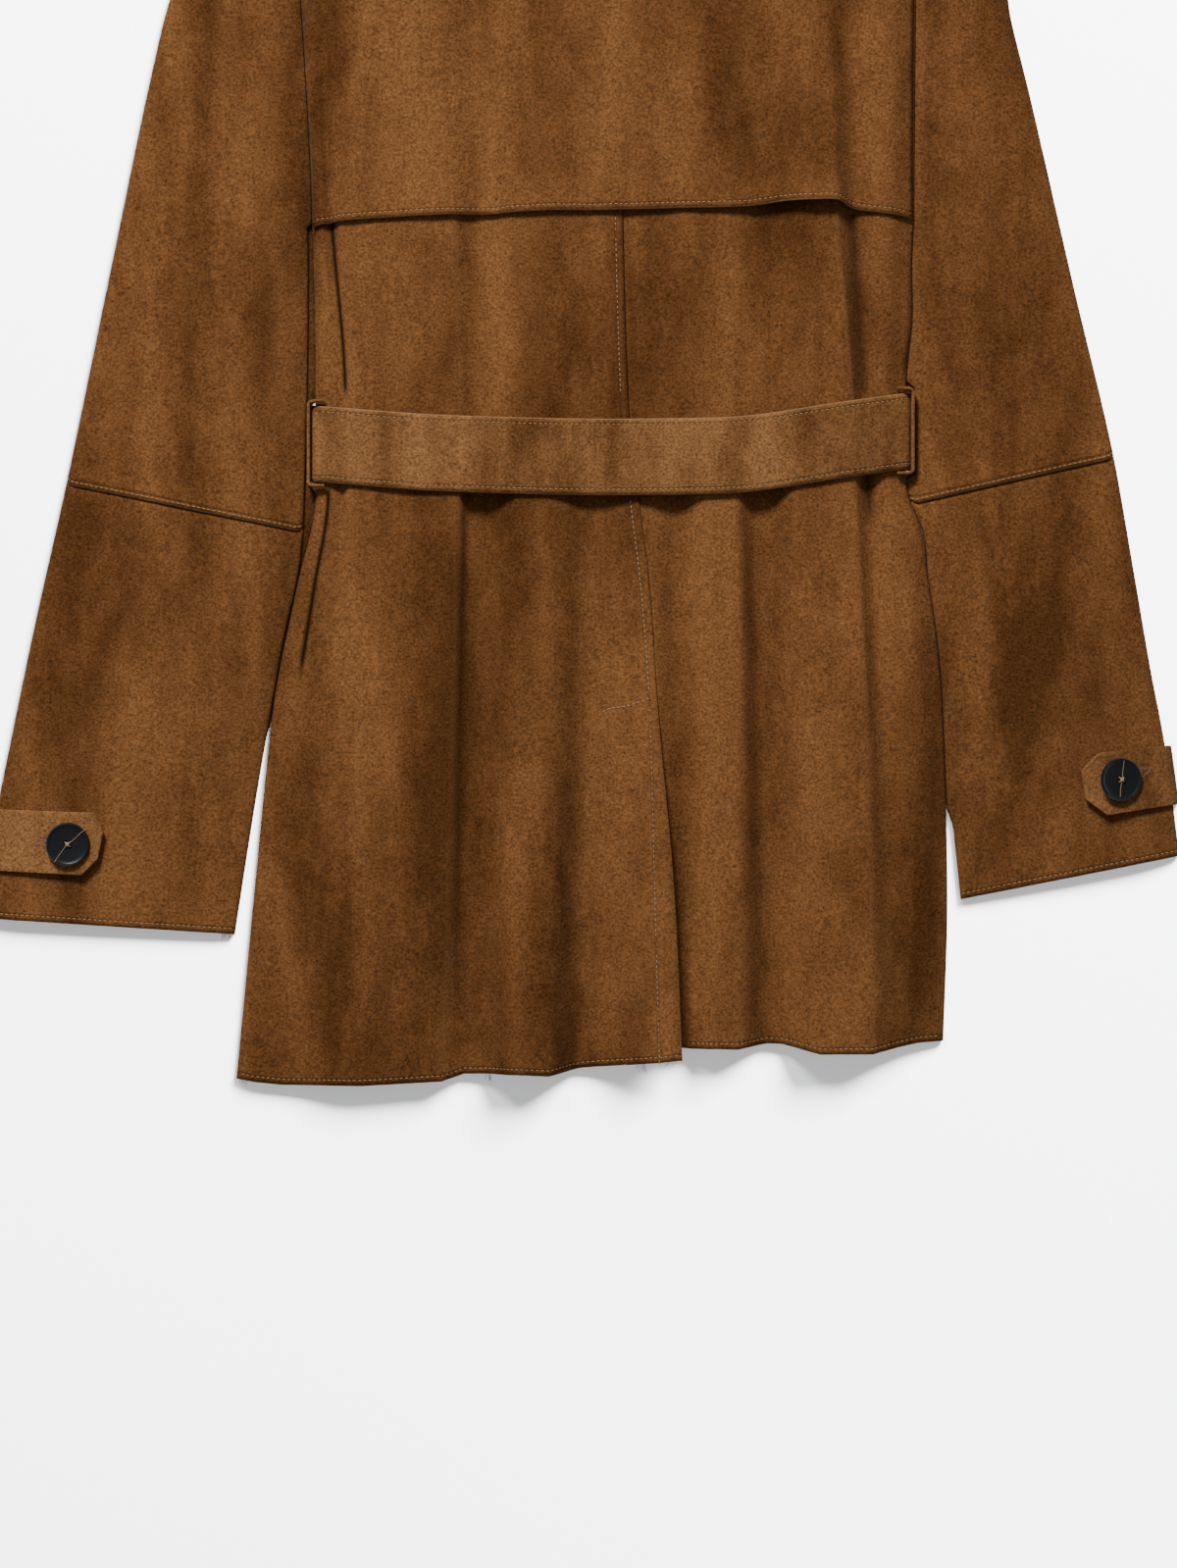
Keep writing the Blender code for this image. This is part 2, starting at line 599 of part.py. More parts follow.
def loop_grid(sign):
    """A carrier seen edge on at the side: a band round the belt, standing up from the table."""
    edge = down((LEFT_BACK[0] if sign < 0 else RIGHT_BACK[-1]).x, 0)
    middle = belt_low_y(edge)
    outer = abs(edge) + BELT_OUT + REST + LOOP_WALL
    reach = BELT_HALF + LOOP_SLACK + LOOP_WALL
    half = (                 # one half of the band: x, y, lower edge, upper edge
        (abs(edge) - LOOP_FLAT, reach + 0.2, 11.6, LOOP_TOP),
        (abs(edge) - 2.5, reach + 0.2, 10.6, LOOP_TOP),
        (abs(edge) + 1.2, reach, 9.0, LOOP_TOP - 0.2),
        (outer - 1.2, reach - 1.2, 3.0, LOOP_TOP - 0.6),
        (outer, reach - 3.4, 2.6, LOOP_TOP - 0.8))
    profile = half + ((outer, 0.0, 2.6, LOOP_TOP - 1.0),)
    profile += tuple((x, -y, low, high) for x, y, low, high in half[::-1])
    upper = [Vector((sign * x, middle + y, high)) for x, y, low, high in profile]
    lower = [Vector((sign * x, middle + y, low)) for x, y, low, high in profile]
    return [upper, lower] if sign < 0 else [lower, upper]


# Sleeves --------------------------------------------------------------------------------

def sleeve_reader(sections):
    """Functions of the place along the sleeve, counted in sections, for each column."""
    count = range(len(sections))

    def read(pick, where):
        return along(list(count), [pick(s) for s in sections], where)
    return read


def armhole_x(folds, y):
    """The body's edge at a true height y, at or above the underarm."""
    if y > CHEST:
        tip = NECK_Y - TIP_DROP
        y = CHEST + (y - CHEST) * (STATIONS[0] - CHEST) / (tip - CHEST)
    return down((folds[0] if side_sign(folds) < 0 else folds[-1]).x, y)


def sleeve_edges(sections, where):
    """The outer and inner edge points; in the armhole the inner one follows the body."""
    read = sleeve_reader(sections)
    outer = Vector((read(lambda s: s.outer[0], where), read(lambda s: s.outer[1], where), 0))
    inner = Vector((read(lambda s: s.inner[0], where), read(lambda s: s.inner[1], where), 0))
    if where < armhole_end(sections):
        folds = LEFT_BACK if sections is LEFT_SLEEVE else RIGHT_BACK
        inner.x = armhole_x(folds, inner.y) + side_sign(folds) * SEAM
    return outer, inner


def sleeve_row(sections, where):
    """A row from the outer to the inner edge: turn, edge, fold lines, edge, turn."""
    read = sleeve_reader(sections)
    outer, inner = sleeve_edges(sections, where)
    width = (inner - outer).length
    step = (inner - outer) / width
    marks = [(TURN_TOP / width, SLEEVE_EDGE)]
    for pick in (lambda s: s.crown, lambda s: s.valley, lambda s: s.swell):
        marks.append((read(lambda s, pick=pick: pick(s)[0], where),
                      read(lambda s, pick=pick: pick(s)[1], where)))
    marks.append((1 - TURN_TOP / width, SLEEVE_EDGE))
    shares, heights = [m[0] for m in marks], [m[1] for m in marks]
    slopes = curve_slopes(shares, heights)
    slopes[0], slopes[-1] = SLEEVE_EDGE_SLOPE, -SLEEVE_EDGE_SLOPE
    row = [outer + step * inset + Vector((0, 0, z)) for inset, z in TURN]
    for i, pieces in enumerate(SLEEVE_COLUMNS):
        for k in range(pieces):
            t = k / pieces
            span = shares[i + 1] - shares[i]
            z = hermite(t, span, heights[i], heights[i + 1], slopes[i], slopes[i + 1])
            row.append(outer + step * width * (shares[i] + t * span) + Vector((0, 0, z)))
    row.append(outer + step * width * shares[-1] + Vector((0, 0, heights[-1])))
    open_seam = where < armhole_end(sections)
    for inset, z in TURN[::-1]:
        if open_seam:
            z = ARMHOLE_Z - 0.3 if inset == 0.0 else None
        else:
            z = on_under_sleeve(z)
        row.append(None if z is None else inner - step * inset + Vector((0, 0, z)))
    return row


def on_under_sleeve(z):
    """The inner turn's heights, raised so that it stands on the wider under sleeve."""
    floor = WALL + SEAM
    return floor + z * (SLEEVE_EDGE - floor) / SLEEVE_EDGE


def armhole_end(sections):
    """The place along the sleeve where its inner edge reaches the underarm."""
    ys = [-s.inner[1] for s in sections]
    return float(np.interp(-UNDERARM_Y, ys, range(len(ys))))


def sleeve_places(sections, first, last, gap_first=0.0, gap_last=0.0):
    steps = (last - first) * SLEEVE_ROWS
    places = [first + (last - first) * k / steps for k in range(steps + 1)]
    end = armhole_end(sections)
    if first < end < last:
        places = sorted(places + [end - 0.02, end + 0.02])
    places[0] += gap_first
    places[-1] -= gap_last
    return places


def elbow_index(sections):
    return [s.name for s in sections].index("elbow")


def top_sleeve_grid(sections, part):
    elbow, last = elbow_index(sections), len(sections) - 1
    if part == "upper":
        places = sleeve_places(sections, 0, elbow, gap_last=ELBOW_GAP)
    else:
        places = sleeve_places(sections, elbow, last, gap_first=ELBOW_GAP)
    grid = [sleeve_row(sections, where) for where in places]
    return grid if sections is LEFT_SLEEVE else [row[::-1] for row in grid]


def under_sleeve_reach(sections, inner, step):
    """Where the under sleeve ends: at the body's side, or lower down at its own inner edge."""
    left = sections is LEFT_SLEEVE
    folds = LEFT_BACK if left else RIGHT_BACK
    edge = abs(armhole_x(folds, inner.y)) + UNDER_CLEAR
    if abs(inner.y - BELT_LIFT_Y) < BELT_LIFT_HALF + 12.0:
        edge = max(edge, abs(down((folds[0] if left else folds[-1]).x, 0)) + BELT_OUT + UNDER_CLEAR)
    wide = inner + step * max(0.0, (abs(inner.x) - edge) / abs(step.x))
    own = inner - step * 0.3
    share = min(max((inner.y - (LEFT_PART if left else RIGHT_PART)) / PART_RAMP, 0.0), 1.0)
    return own.lerp(wide, share)


def under_sleeve_grid(sections):
    """A flat strip on the table, from the outer turned edge to the body's side."""
    grid = []
    for where in sleeve_places(sections, 0, len(sections) - 1):
        outer, inner = sleeve_edges(sections, where)
        outer.z = inner.z = WALL
        step = (inner - outer).normalized()
        near = outer + step * (TURN[0][0] + SEAM)
        in_armhole = where < armhole_end(sections)
        far = inner - step * SEAM if in_armhole else under_sleeve_reach(sections, inner, step)
        row = [near.lerp(far, k / 4) for k in range(5)]
        grid.append(row if sections is LEFT_SLEEVE else row[::-1])
    return grid


# Cuff tabs and buttons ------------------------------------------------------------------

def sleeve_place(sections, up):
    """The place along the sleeve that lies this far up from the cuff."""
    a, b = Vector(sections[-1].outer), Vector(sections[-2].outer)
    return len(sections) - 1 - up / (a - b).length


def sleeve_point(sections, where, reach):
    """A point of the top sleeve's outer side, reach in from its outer edge, and its normal."""
    def at(place, distance):
        row = [p for p in sleeve_row(sections, place) if p is not None]
        flat = [Vector((p.x, p.y, 0)) for p in row]
        start = flat[3]
        done = [0.0] + [(p - start).length for p in flat[4:]]
        i = int(np.clip(np.searchsorted(done, distance) - 1, 0, len(done) - 2))
        t = (distance - done[i]) / (done[i + 1] - done[i])
        return row[3 + i].lerp(row[4 + i], t)
    here = at(where, reach)
    across = at(where, reach + 2.0) - at(where, max(reach - 2.0, 0.0))
    lengthwise = at(where - 0.03, reach) - at(where + 0.03, reach)
    normal = across.cross(lengthwise).normalized()
    return here, normal if normal.z > 0 else -normal


def tab_grid(sections, tab):
    """The strap lies on the sleeve's own points, moved out, and its end stands off it."""
    shares = [(k / 10) ** 1.5 for k in range(11)]
    out = 2 * REST + DOUBLE
    grid = []
    for side in TAB_ROWS:
        line = []
        for share in shares:
            corner = side in (0.0, 1.0)
            reach = tab.reach - (tab.chamfer if corner else 0.0)
            up = tab.low + (tab.high - tab.low) * (1 - side)
            point, normal = sleeve_point(sections, sleeve_place(sections, up), TAB_ROOT + reach * share)
            line.append(point + normal * (out + TAB_LIFT * share * share))
        sign = -1 if sections is LEFT_SLEEVE else 1
        edge_x = line[0].x + sign * (DOUBLE + TAB_REST)
        line = [Vector((edge_x + sign * reach, line[0].y, z)) for reach, z in TAB_WRAP] + line
        grid.append(line if sections is LEFT_SLEEVE else line[::-1])
    return grid


def button_mesh(name):
    """A turned disc with a raised rim and a dished face."""
    r, h = BUTTON_RADIUS, BUTTON_HEIGHT
    outline = ((0.0, h - 1.0), (r - 3.4, h - 0.9), (r - 2.2, h - 0.1), (r - 1.2, h), (r - 0.2, h - 0.8),
               (r, h * 0.45), (r - 1.0, 0.2), (r - 2.5, 0.0), (0.0, 0.0))
    mesh = bpy.data.meshes.new(name)
    shape = bmesh.new()
    ring = [shape.verts.new((x * 0.001, 0, z * 0.001)) for x, z in outline]
    for a, b in zip(ring, ring[1:]):
        shape.edges.new((a, b))
    shape.to_mesh(mesh)
    shape.free()
    return mesh


def add_button(group, cutters, name, sections, tab, material):
    middle = sleeve_place(sections, 0.5 * (tab.low + tab.high))
    point, normal = sleeve_point(sections, middle, TAB_ROOT + tab.button_at)
    share = tab.button_at / tab.reach
    tilt = Matrix.Rotation(math.radians(tab.tilt), 4, "Y")
    up = tilt @ normal
    place = point + normal * (2 * REST + DOUBLE + TAB_LIFT * share * share + tab.seat)
    button = add_piece(group, name, button_mesh(name), material, wall=0)
    screw = button.modifiers.new("turn", "SCREW")
    screw.steps = screw.render_steps = 28
    screw.use_merge_vertices = True
    screw.merge_threshold = 0.00001
    button.matrix_world = Matrix.Translation(place * 0.001) @ up.to_track_quat("Z", "Y").to_matrix().to_4x4()
    for k in range(4):
        angle = math.pi * (0.25 + 0.5 * k)
        cutter = hole_cutter(f"{name}_hole_{k + 1}", cutters)
        offset = Vector((math.cos(angle), math.sin(angle), 0)) * BUTTON_SPREAD * 0.001
        cutter.matrix_world = button.matrix_world @ Matrix.Translation(offset)
        cut = button.modifiers.new(f"hole {k + 1}", "BOOLEAN")
        cut.operation = "DIFFERENCE"
        cut.object = cutter
    return button


def hole_cutter(name, cutters):
    mesh = bpy.data.meshes.new(name)
    shape = bmesh.new()
    bmesh.ops.create_cone(shape, cap_ends=True, segments=10, radius1=BUTTON_HOLE * 0.001,
                          radius2=BUTTON_HOLE * 0.001, depth=0.02)
    shape.to_mesh(mesh)
    shape.free()
    cutter = bpy.data.objects.new(name, mesh)
    cutter.hide_render = True
    cutter.display_type = "WIRE"
    cutters.objects.link(cutter)
    return cutter


# Collar ---------------------------------------------------------------------------------

def stand_grid():
    grid = []
    for share in (1.0, 0.5, 0.0):
        row = []
        for k in range(13):
            a = -1 + 2 * k / 12
            low = Vector((a * (NECK_HALF - 1), shoulder_y(a * (NECK_HALF - 1)) + SEAM + 0.2, 2.9))
            high = Vector((a * (ROLL_HALF - 1), ROLL_Y - 1 - 6 * a * a, DOUBLE))
            row.append(low.lerp(high, share))
        grid.append(row)
    return grid


def fall_grid():
    """The fall comes back over the neck seam and lies on the storm flap."""
    grid = []
    for k in range(7):
        share = k / 6
        row = []
        for j in range(17):
            a = -1 + 2 * j / 16
            x = a * (ROLL_HALF + (FALL_HALF - ROLL_HALF) * share)
            bow = (-6 * (1 - share) + 34 * share) * a * a
            y = ROLL_Y + (FALL_Y - ROLL_Y) * share + bow
            level = STATIONS[0]
            if y < shoulder_y(x):
                level = CHEST + (y - CHEST) * (STATIONS[0] - CHEST) / (shoulder_y(x) - CHEST)
            z = cloth_height(x, min(level, STATIONS[0])) + FALL_REST + DOUBLE
            row.append(Vector((x, y, z)))
        grid.append(row)
    return grid


# The coat -------------------------------------------------------------------------------

def build_coat():
    clear_scene()
    group = make_collection("trench_coat")
    cutters = make_collection("cutters")
    suede = make_material("suede", SUEDE, 0.9)
    light = make_material("light_suede", LIGHT_SUEDE, 0.9)
    plastic = make_material("button_plastic", BUTTON, 0.35)

    def cloth(name, grid, material=suede, wall=WALL, ring=False):
        return add_piece(group, name, surface_mesh(name, grid, ring), material, wall)

    cloth("back_left", back_grid(LEFT_BACK)[1])
    cloth("back_right", right_back_grid())
    cloth("storm_flap", flap_grid())
    cloth("front_left", front_grid(-1))
    cloth("front_right", front_grid(1))
    cloth("belt", belt_grid(), light, DOUBLE, ring=True)
    cloth("collar_stand", stand_grid(), suede, DOUBLE - 0.6)
    cloth("collar_fall", fall_grid(), suede, DOUBLE)
    for side, sign, sections, tab in (("left", -1, LEFT_SLEEVE, LEFT_TAB),
                                      ("right", 1, RIGHT_SLEEVE, RIGHT_TAB)):
        cloth(f"sleeve_{side}_top_upper", top_sleeve_grid(sections, "upper"))
        cloth(f"sleeve_{side}_top_lower", top_sleeve_grid(sections, "lower"))
        cloth(f"sleeve_{side}_under", under_sleeve_grid(sections))
        cloth(f"belt_loop_{side}", loop_grid(sign), light, LOOP_WALL)
        cloth(f"cuff_tab_{side}", tab_grid(sections, tab), light, DOUBLE)
        add_button(group, cutters, f"cuff_button_{side}", sections, tab, plastic)
    return group, cutters


def centre_on_footprint(group, cutters):
    """Hang every piece on one empty, and move that so the footprint's middle is the origin."""
    bpy.context.view_layer.update()
    graph = bpy.context.evaluated_depsgraph_get()
    low, high = Vector((1e9,) * 3), Vector((-1e9,) * 3)
    for piece in group.objects:
        shape = piece.evaluated_get(graph)
        for vertex in shape.data.vertices:
            place = piece.matrix_world @ vertex.co
            for axis in range(3):
                low[axis] = min(low[axis], place[axis])
                high[axis] = max(high[axis], place[axis])
    root = bpy.data.objects.new("coat_origin", None)
    group.objects.link(root)
    for piece in list(group.objects) + list(cutters.objects):
        if piece is not root:
            piece.parent = root
    root.location = (-(low.x + high.x) / 2, -(low.y + high.y) / 2, -low.z)
    bpy.context.view_layer.update()


coat, coat_cutters = build_coat()
centre_on_footprint(coat, coat_cutters)
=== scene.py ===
# %% [markdown]
# # A faux suede trench coat, laid flat on its front
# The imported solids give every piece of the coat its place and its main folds. This notebook
# dresses them: each cloth piece is built again as a fine thin shell on the same fold lines,
# with softer, smaller folds, and gets a brushed suede finish, raw cut edges and topstitching.

# %% Load the frame
import math
from collections import namedtuple

import bmesh
import bpy
import numpy as np
from mathutils import Matrix, Vector


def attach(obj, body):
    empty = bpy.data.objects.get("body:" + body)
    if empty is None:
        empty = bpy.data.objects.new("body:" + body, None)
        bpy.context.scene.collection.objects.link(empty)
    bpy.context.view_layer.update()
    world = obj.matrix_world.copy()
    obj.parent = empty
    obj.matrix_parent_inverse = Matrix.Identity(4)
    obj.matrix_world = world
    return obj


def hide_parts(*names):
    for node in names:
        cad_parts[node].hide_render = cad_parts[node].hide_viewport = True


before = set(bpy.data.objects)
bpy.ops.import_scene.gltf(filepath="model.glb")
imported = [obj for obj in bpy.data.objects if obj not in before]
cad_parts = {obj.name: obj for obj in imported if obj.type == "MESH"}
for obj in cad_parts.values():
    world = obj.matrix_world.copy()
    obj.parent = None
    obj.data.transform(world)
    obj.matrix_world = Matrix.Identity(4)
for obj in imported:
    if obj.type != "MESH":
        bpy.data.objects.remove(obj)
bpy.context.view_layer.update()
print("nodes in the frame:", len(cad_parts))

# %% [markdown]
# ## Camera, light and floor
# The coat was photographed from straight above on a white floor. A camera far above it with
# a long lens keeps the outlines true. One large lamp beyond the shoulders models the folds,
# and a pale world fills in the rest. The floor is burnt out to white in the photo, as when a
# studio lights its backdrop apart. So two more lamps light the floor alone: a strong one from
# past the coat, which leaves the shadow under the hem, and a weak one from the front, which
# softens it. The floor's glare isn't thrown back at the cloth.

# %% Camera straight above
CAMERA_HEIGHT = 2.4
CAMERA_AIM = (0.0083, -0.2374)          # where the middle of the picture falls on the floor
PICTURE_SIZE = (1200, 1599)
METRES_PER_PIXEL = 0.0007
SENSOR = 36.0

camera_data = bpy.data.cameras.new("camera")
camera_data.sensor_fit = "VERTICAL"
camera_data.sensor_height = SENSOR
camera_data.lens = SENSOR * CAMERA_HEIGHT / (PICTURE_SIZE[1] * METRES_PER_PIXEL)
camera = bpy.data.objects.new("camera", camera_data)
camera.location = (*CAMERA_AIM, CAMERA_HEIGHT)
bpy.context.scene.collection.objects.link(camera)
bpy.context.scene.camera = camera
print("lens", round(camera_data.lens, 1), "mm")

# %% Lamps and world
Lamp = namedtuple("Lamp", "name place aim size power floor_only")
LAMPS = (
    Lamp("key_lamp", (-1.1, 2.9, 2.7), (0.0, -0.1, 0.0), 1.2, 217.0, False),
    Lamp("floor_lamp", (2.9, 4.2, 3.4), (0.0, -0.6, 0.0), 3.0, 4550.0, True),
    Lamp("floor_fill", (2.0, -4.2, 3.7), (0.0, -0.6, 0.0), 2.0, 230.0, True),
)
WORLD_COLOUR = (0.95, 0.96, 1.0, 1.0)
WORLD_STRENGTH = 0.26
FLOOR_ONLY = bpy.data.collections.new("floor_only")

for lamp in LAMPS:
    light = bpy.data.lights.new(lamp.name, "AREA")
    light.shape = "DISK"
    light.size = lamp.size
    light.energy = lamp.power
    holder = bpy.data.objects.new(lamp.name, light)
    holder.location = lamp.place
    holder.rotation_mode = "QUATERNION"
    holder.rotation_quaternion = (Vector(lamp.aim) - Vector(lamp.place)).to_track_quat("-Z", "Y")
    bpy.context.scene.collection.objects.link(holder)
    if lamp.floor_only:
        holder.light_linking.receiver_collection = FLOOR_ONLY

world = bpy.data.worlds.new("soft_white")
world.use_nodes = True
background = world.node_tree.nodes["Background"]
background.inputs["Color"].default_value = WORLD_COLOUR
background.inputs["Strength"].default_value = WORLD_STRENGTH
bpy.context.scene.world = world
print("lamps:", len(LAMPS))

# %% [markdown]
# ## Small helpers for shaders
# An effect that several finishes share is a node group with named sockets. It puts out only
# colours, masks and heights, and the Principled shader stays in each material.

# %% Node helpers
def add_node(tree, kind, **settings):
    node = tree.nodes.new(kind)
    for name, value in settings.items():
        setattr(node, name, value)
    return node


def set_inputs(node, **values):
    for name, value in values.items():
        node.inputs[name.replace("_", " ")].default_value = value
    return node


def new_material(name):
    material = bpy.data.materials.new(name)
    material.use_nodes = True
    return material, material.node_tree, material.node_tree.nodes["Principled BSDF"]


def new_group(name, inputs, outputs):
    """A shader node group; inputs are (name, socket type, value), outputs (name, type)."""
    tree = bpy.data.node_groups.new(name, "ShaderNodeTree")
    for label, kind, value in inputs:
        socket = tree.interface.new_socket(label, in_out="INPUT", socket_type=kind)
        socket.default_value = value
    for label, kind in outputs:
        tree.interface.new_socket(label, in_out="OUTPUT", socket_type=kind)
    return tree, add_node(tree, "NodeGroupInput"), add_node(tree, "NodeGroupOutput")


def arithmetic(tree, operation, first, second):
    """A Math node; each side is a socket or a number."""
    node = add_node(tree, "ShaderNodeMath", operation=operation)
    for slot, value in zip(node.inputs, (first, second)):
        if isinstance(value, (int, float)):
            slot.default_value = value
        else:
            tree.links.new(value, slot)
    return node.outputs[0]


def remap(tree, value, low, high, to_low, to_high):
    node = add_node(tree, "ShaderNodeMapRange")
    tree.links.new(value, node.inputs["Value"])
    set_inputs(node, From_Min=low, From_Max=high, To_Min=to_low, To_Max=to_high)
    return node.outputs[0]


def weighted(tree, first, share, second):
    """A sum in which the first value has this share, and the second one the rest."""
    return arithmetic(tree, "ADD", arithmetic(tree, "MULTIPLY", first, share),
                      arithmetic(tree, "MULTIPLY", second, 1 - share))


def blend_colours(tree, factor, first, second, mode="MIX"):
    """Mix two colours, each a socket or four numbers."""
    node = add_node(tree, "ShaderNodeMix", data_type="RGBA", blend_type=mode)
    for slot, value in ((node.inputs[0], factor), (node.inputs[6], first), (node.inputs[7], second)):
        if isinstance(value, (int, float, tuple)):
            slot.default_value = value
        else:
            tree.links.new(value, slot)
    return node.outputs[2]


def add_bump(tree, shader, height, strength, distance):
    bump = set_inputs(add_node(tree, "ShaderNodeBump"), Strength=strength, Distance=distance)
    tree.links.new(height, bump.inputs["Height"])
    tree.links.new(bump.outputs["Normal"], shader.inputs["Normal"])


def own_place(tree):
    """Each point's place in the coat's own metres."""
    return add_node(tree, "ShaderNodeTexCoord").outputs["Object"]


def noise(tree, place, scale, detail=3.0, roughness=0.55, stretch=None, distortion=0.0):
    """A noise texture, optionally stretched along an axis."""
    if stretch:
        mapping = add_node(tree, "ShaderNodeMapping")
        mapping.inputs["Scale"].default_value = stretch
        tree.links.new(place, mapping.inputs["Vector"])
        place = mapping.outputs["Vector"]
    node = add_node(tree, "ShaderNodeTexNoise")
    tree.links.new(place, node.inputs["Vector"])
    if isinstance(scale, (int, float)):
        node.inputs["Scale"].default_value = scale
    else:
        tree.links.new(scale, node.inputs["Scale"])
    set_inputs(node, Detail=detail, Roughness=roughness, Distortion=distortion)
    return node.outputs[0]


print("shader helpers are ready")

# %% [markdown]
# ## The brushed nap
# Faux suede has a short pile. Where a hand has brushed it one way it looks dark, and where it
# was brushed back it looks pale, in long soft patches that run down the coat. On top of that
# each tuft of the pile catches the light by itself, as a grain about a millimetre wide.
# Three sizes of noise in the coat's own coordinates give this without any picture file.

# %% Brushed nap group
STREAK_SHARE, LAY_RANGE = 0.8, (0.38, 0.62)
TUFT_SHARE, TUFT_SWING, DARKEST_TUFT = 0.82, 5.0, 0.2


def make_nap_group():
    tree, given, result = new_group(
        "brushed_nap",
        [("Dark", "NodeSocketColor", (0.1, 0.05, 0.02, 1)),
         ("Light", "NodeSocketColor", (0.2, 0.1, 0.04, 1)),
         ("Patch Scale", "NodeSocketFloat", 15.0),
         ("Grain Scale", "NodeSocketFloat", 560.0),
         ("Grain", "NodeSocketFloat", 0.3)],
        [("Color", "NodeSocketColor"), ("Lay", "NodeSocketFloat"), ("Height", "NodeSocketFloat")])
    place = own_place(tree)
    streaks = noise(tree, place, given.outputs["Patch Scale"], 4.0, 0.55, (1.0, 0.22, 1.0), 0.3)
    blotches = noise(tree, place, 52.0, 3.0, 0.6, (1.0, 0.7, 1.0), 0.3)
    tufts = noise(tree, place, given.outputs["Grain Scale"], 2.0, 0.6)
    soft_tufts = noise(tree, place, 210.0, 2.0, 0.5)
    lay = remap(tree, weighted(tree, streaks, STREAK_SHARE, blotches), *LAY_RANGE, 0.0, 1.0)
    brushed = blend_colours(tree, lay, given.outputs["Dark"], given.outputs["Light"])
    pile = weighted(tree, tufts, TUFT_SHARE, soft_tufts)
    swing = arithmetic(tree, "MULTIPLY", arithmetic(tree, "SUBTRACT", pile, 0.5), TUFT_SWING)
    grain = arithmetic(tree, "MULTIPLY", swing, given.outputs["Grain"])
    brightness = arithmetic(tree, "MAXIMUM", arithmetic(tree, "ADD", grain, 1.0), DARKEST_TUFT)
    scaled = add_node(tree, "ShaderNodeVectorMath", operation="SCALE")
    tree.links.new(brushed, scaled.inputs[0])
    tree.links.new(brightness, scaled.inputs["Scale"])
    tree.links.new(scaled.outputs[0], result.inputs["Color"])
    tree.links.new(lay, result.inputs["Lay"])
    tree.links.new(pile, result.inputs["Height"])
    return tree


NAP = make_nap_group()
print("group", NAP.name, "with", len(NAP.nodes), "nodes")

# %% [markdown]
# ## Seams and cut edges
# A row of stitches pulls the cloth down into a narrow dark groove, and a cut edge shows the
# pale backing as a thin line. Each mesh carries two point attributes in millimetres for
# this: edge_distance, from the nearest cut edge, and seam_offset, from the nearest other
# row. This group turns them into masks.

# %% Seam group
EDGE_STITCH = 4.0                       # millimetres from a cut edge to its row of stitches
GROOVE_HALF = 1.5
RAW_WIDTH = (0.35, 1.0)


def attribute(tree, name):
    return add_node(tree, "ShaderNodeAttribute", attribute_name=name).outputs["Fac"]


def groove(tree, offset):
    """1 on a row of stitches, falling to 0 a little way to each side."""
    away = arithmetic(tree, "ABSOLUTE", offset, 0.0)
    return remap(tree, away, 0.0, GROOVE_HALF, 1.0, 0.0)


def make_seam_group():
    tree, given, result = new_group(
        "seams_and_cut_edges",
        [("Edge Distance", "NodeSocketFloat", 99.0), ("Seam Offset", "NodeSocketFloat", 99.0)],
        [("Raw", "NodeSocketFloat"), ("Groove", "NodeSocketFloat")])
    edge = given.outputs["Edge Distance"]
    tree.links.new(remap(tree, edge, *RAW_WIDTH, 1.0, 0.0), result.inputs["Raw"])
    along_edge = groove(tree, arithmetic(tree, "SUBTRACT", edge, EDGE_STITCH))
    grooves = arithmetic(tree, "MAXIMUM", along_edge, groove(tree, given.outputs["Seam Offset"]))
    tree.links.new(grooves, result.inputs["Groove"])
    return tree


SEAMS = make_seam_group()
print("group", SEAMS.name, "with", len(SEAMS.nodes), "nodes")

# %% [markdown]
# ## Suede, thread and button plastic
# The suede takes the nap group twice with its own colours: the belt, loops and tabs were
# brushed paler than the coat. The sharpest creases are paler along their crests, as polished
# nap and a painted highlight, which each mesh carries as a point attribute named wear. A second
# one, named pocket, paints shade into the folds that are too deep for any light. A little sheen
# gives the velvet rim.

# %% Suede materials
PALE_BACKING = (0.33, 0.185, 0.085, 1)
GROOVE_SHADE, GROOVE_DEPTH = 0.3, 0.9
GRAIN, POLISH_AND_HIGHLIGHT, RAW_PALENESS, PAINTED_SHADE_DARKNESS = 0.56, 0.22, 0.55, 0.97
PAINTED_SHADE_EDGE, DEEP_SHADE = (0.2, 0.9), (0.012, 0.005, 0.002, 1)
Nap = namedtuple("Nap", "name dark light worn patch_scale")
SUEDE = Nap("brushed_suede", (0.082, 0.0305, 0.0085, 1), (0.208, 0.086, 0.028, 1),
            (0.25, 0.12, 0.045, 1), 15.0)
LIGHT_SUEDE = Nap("pale_suede", (0.116, 0.047, 0.0145, 1), (0.252, 0.115, 0.041, 1),
                  (0.32, 0.175, 0.08, 1), 24.0)


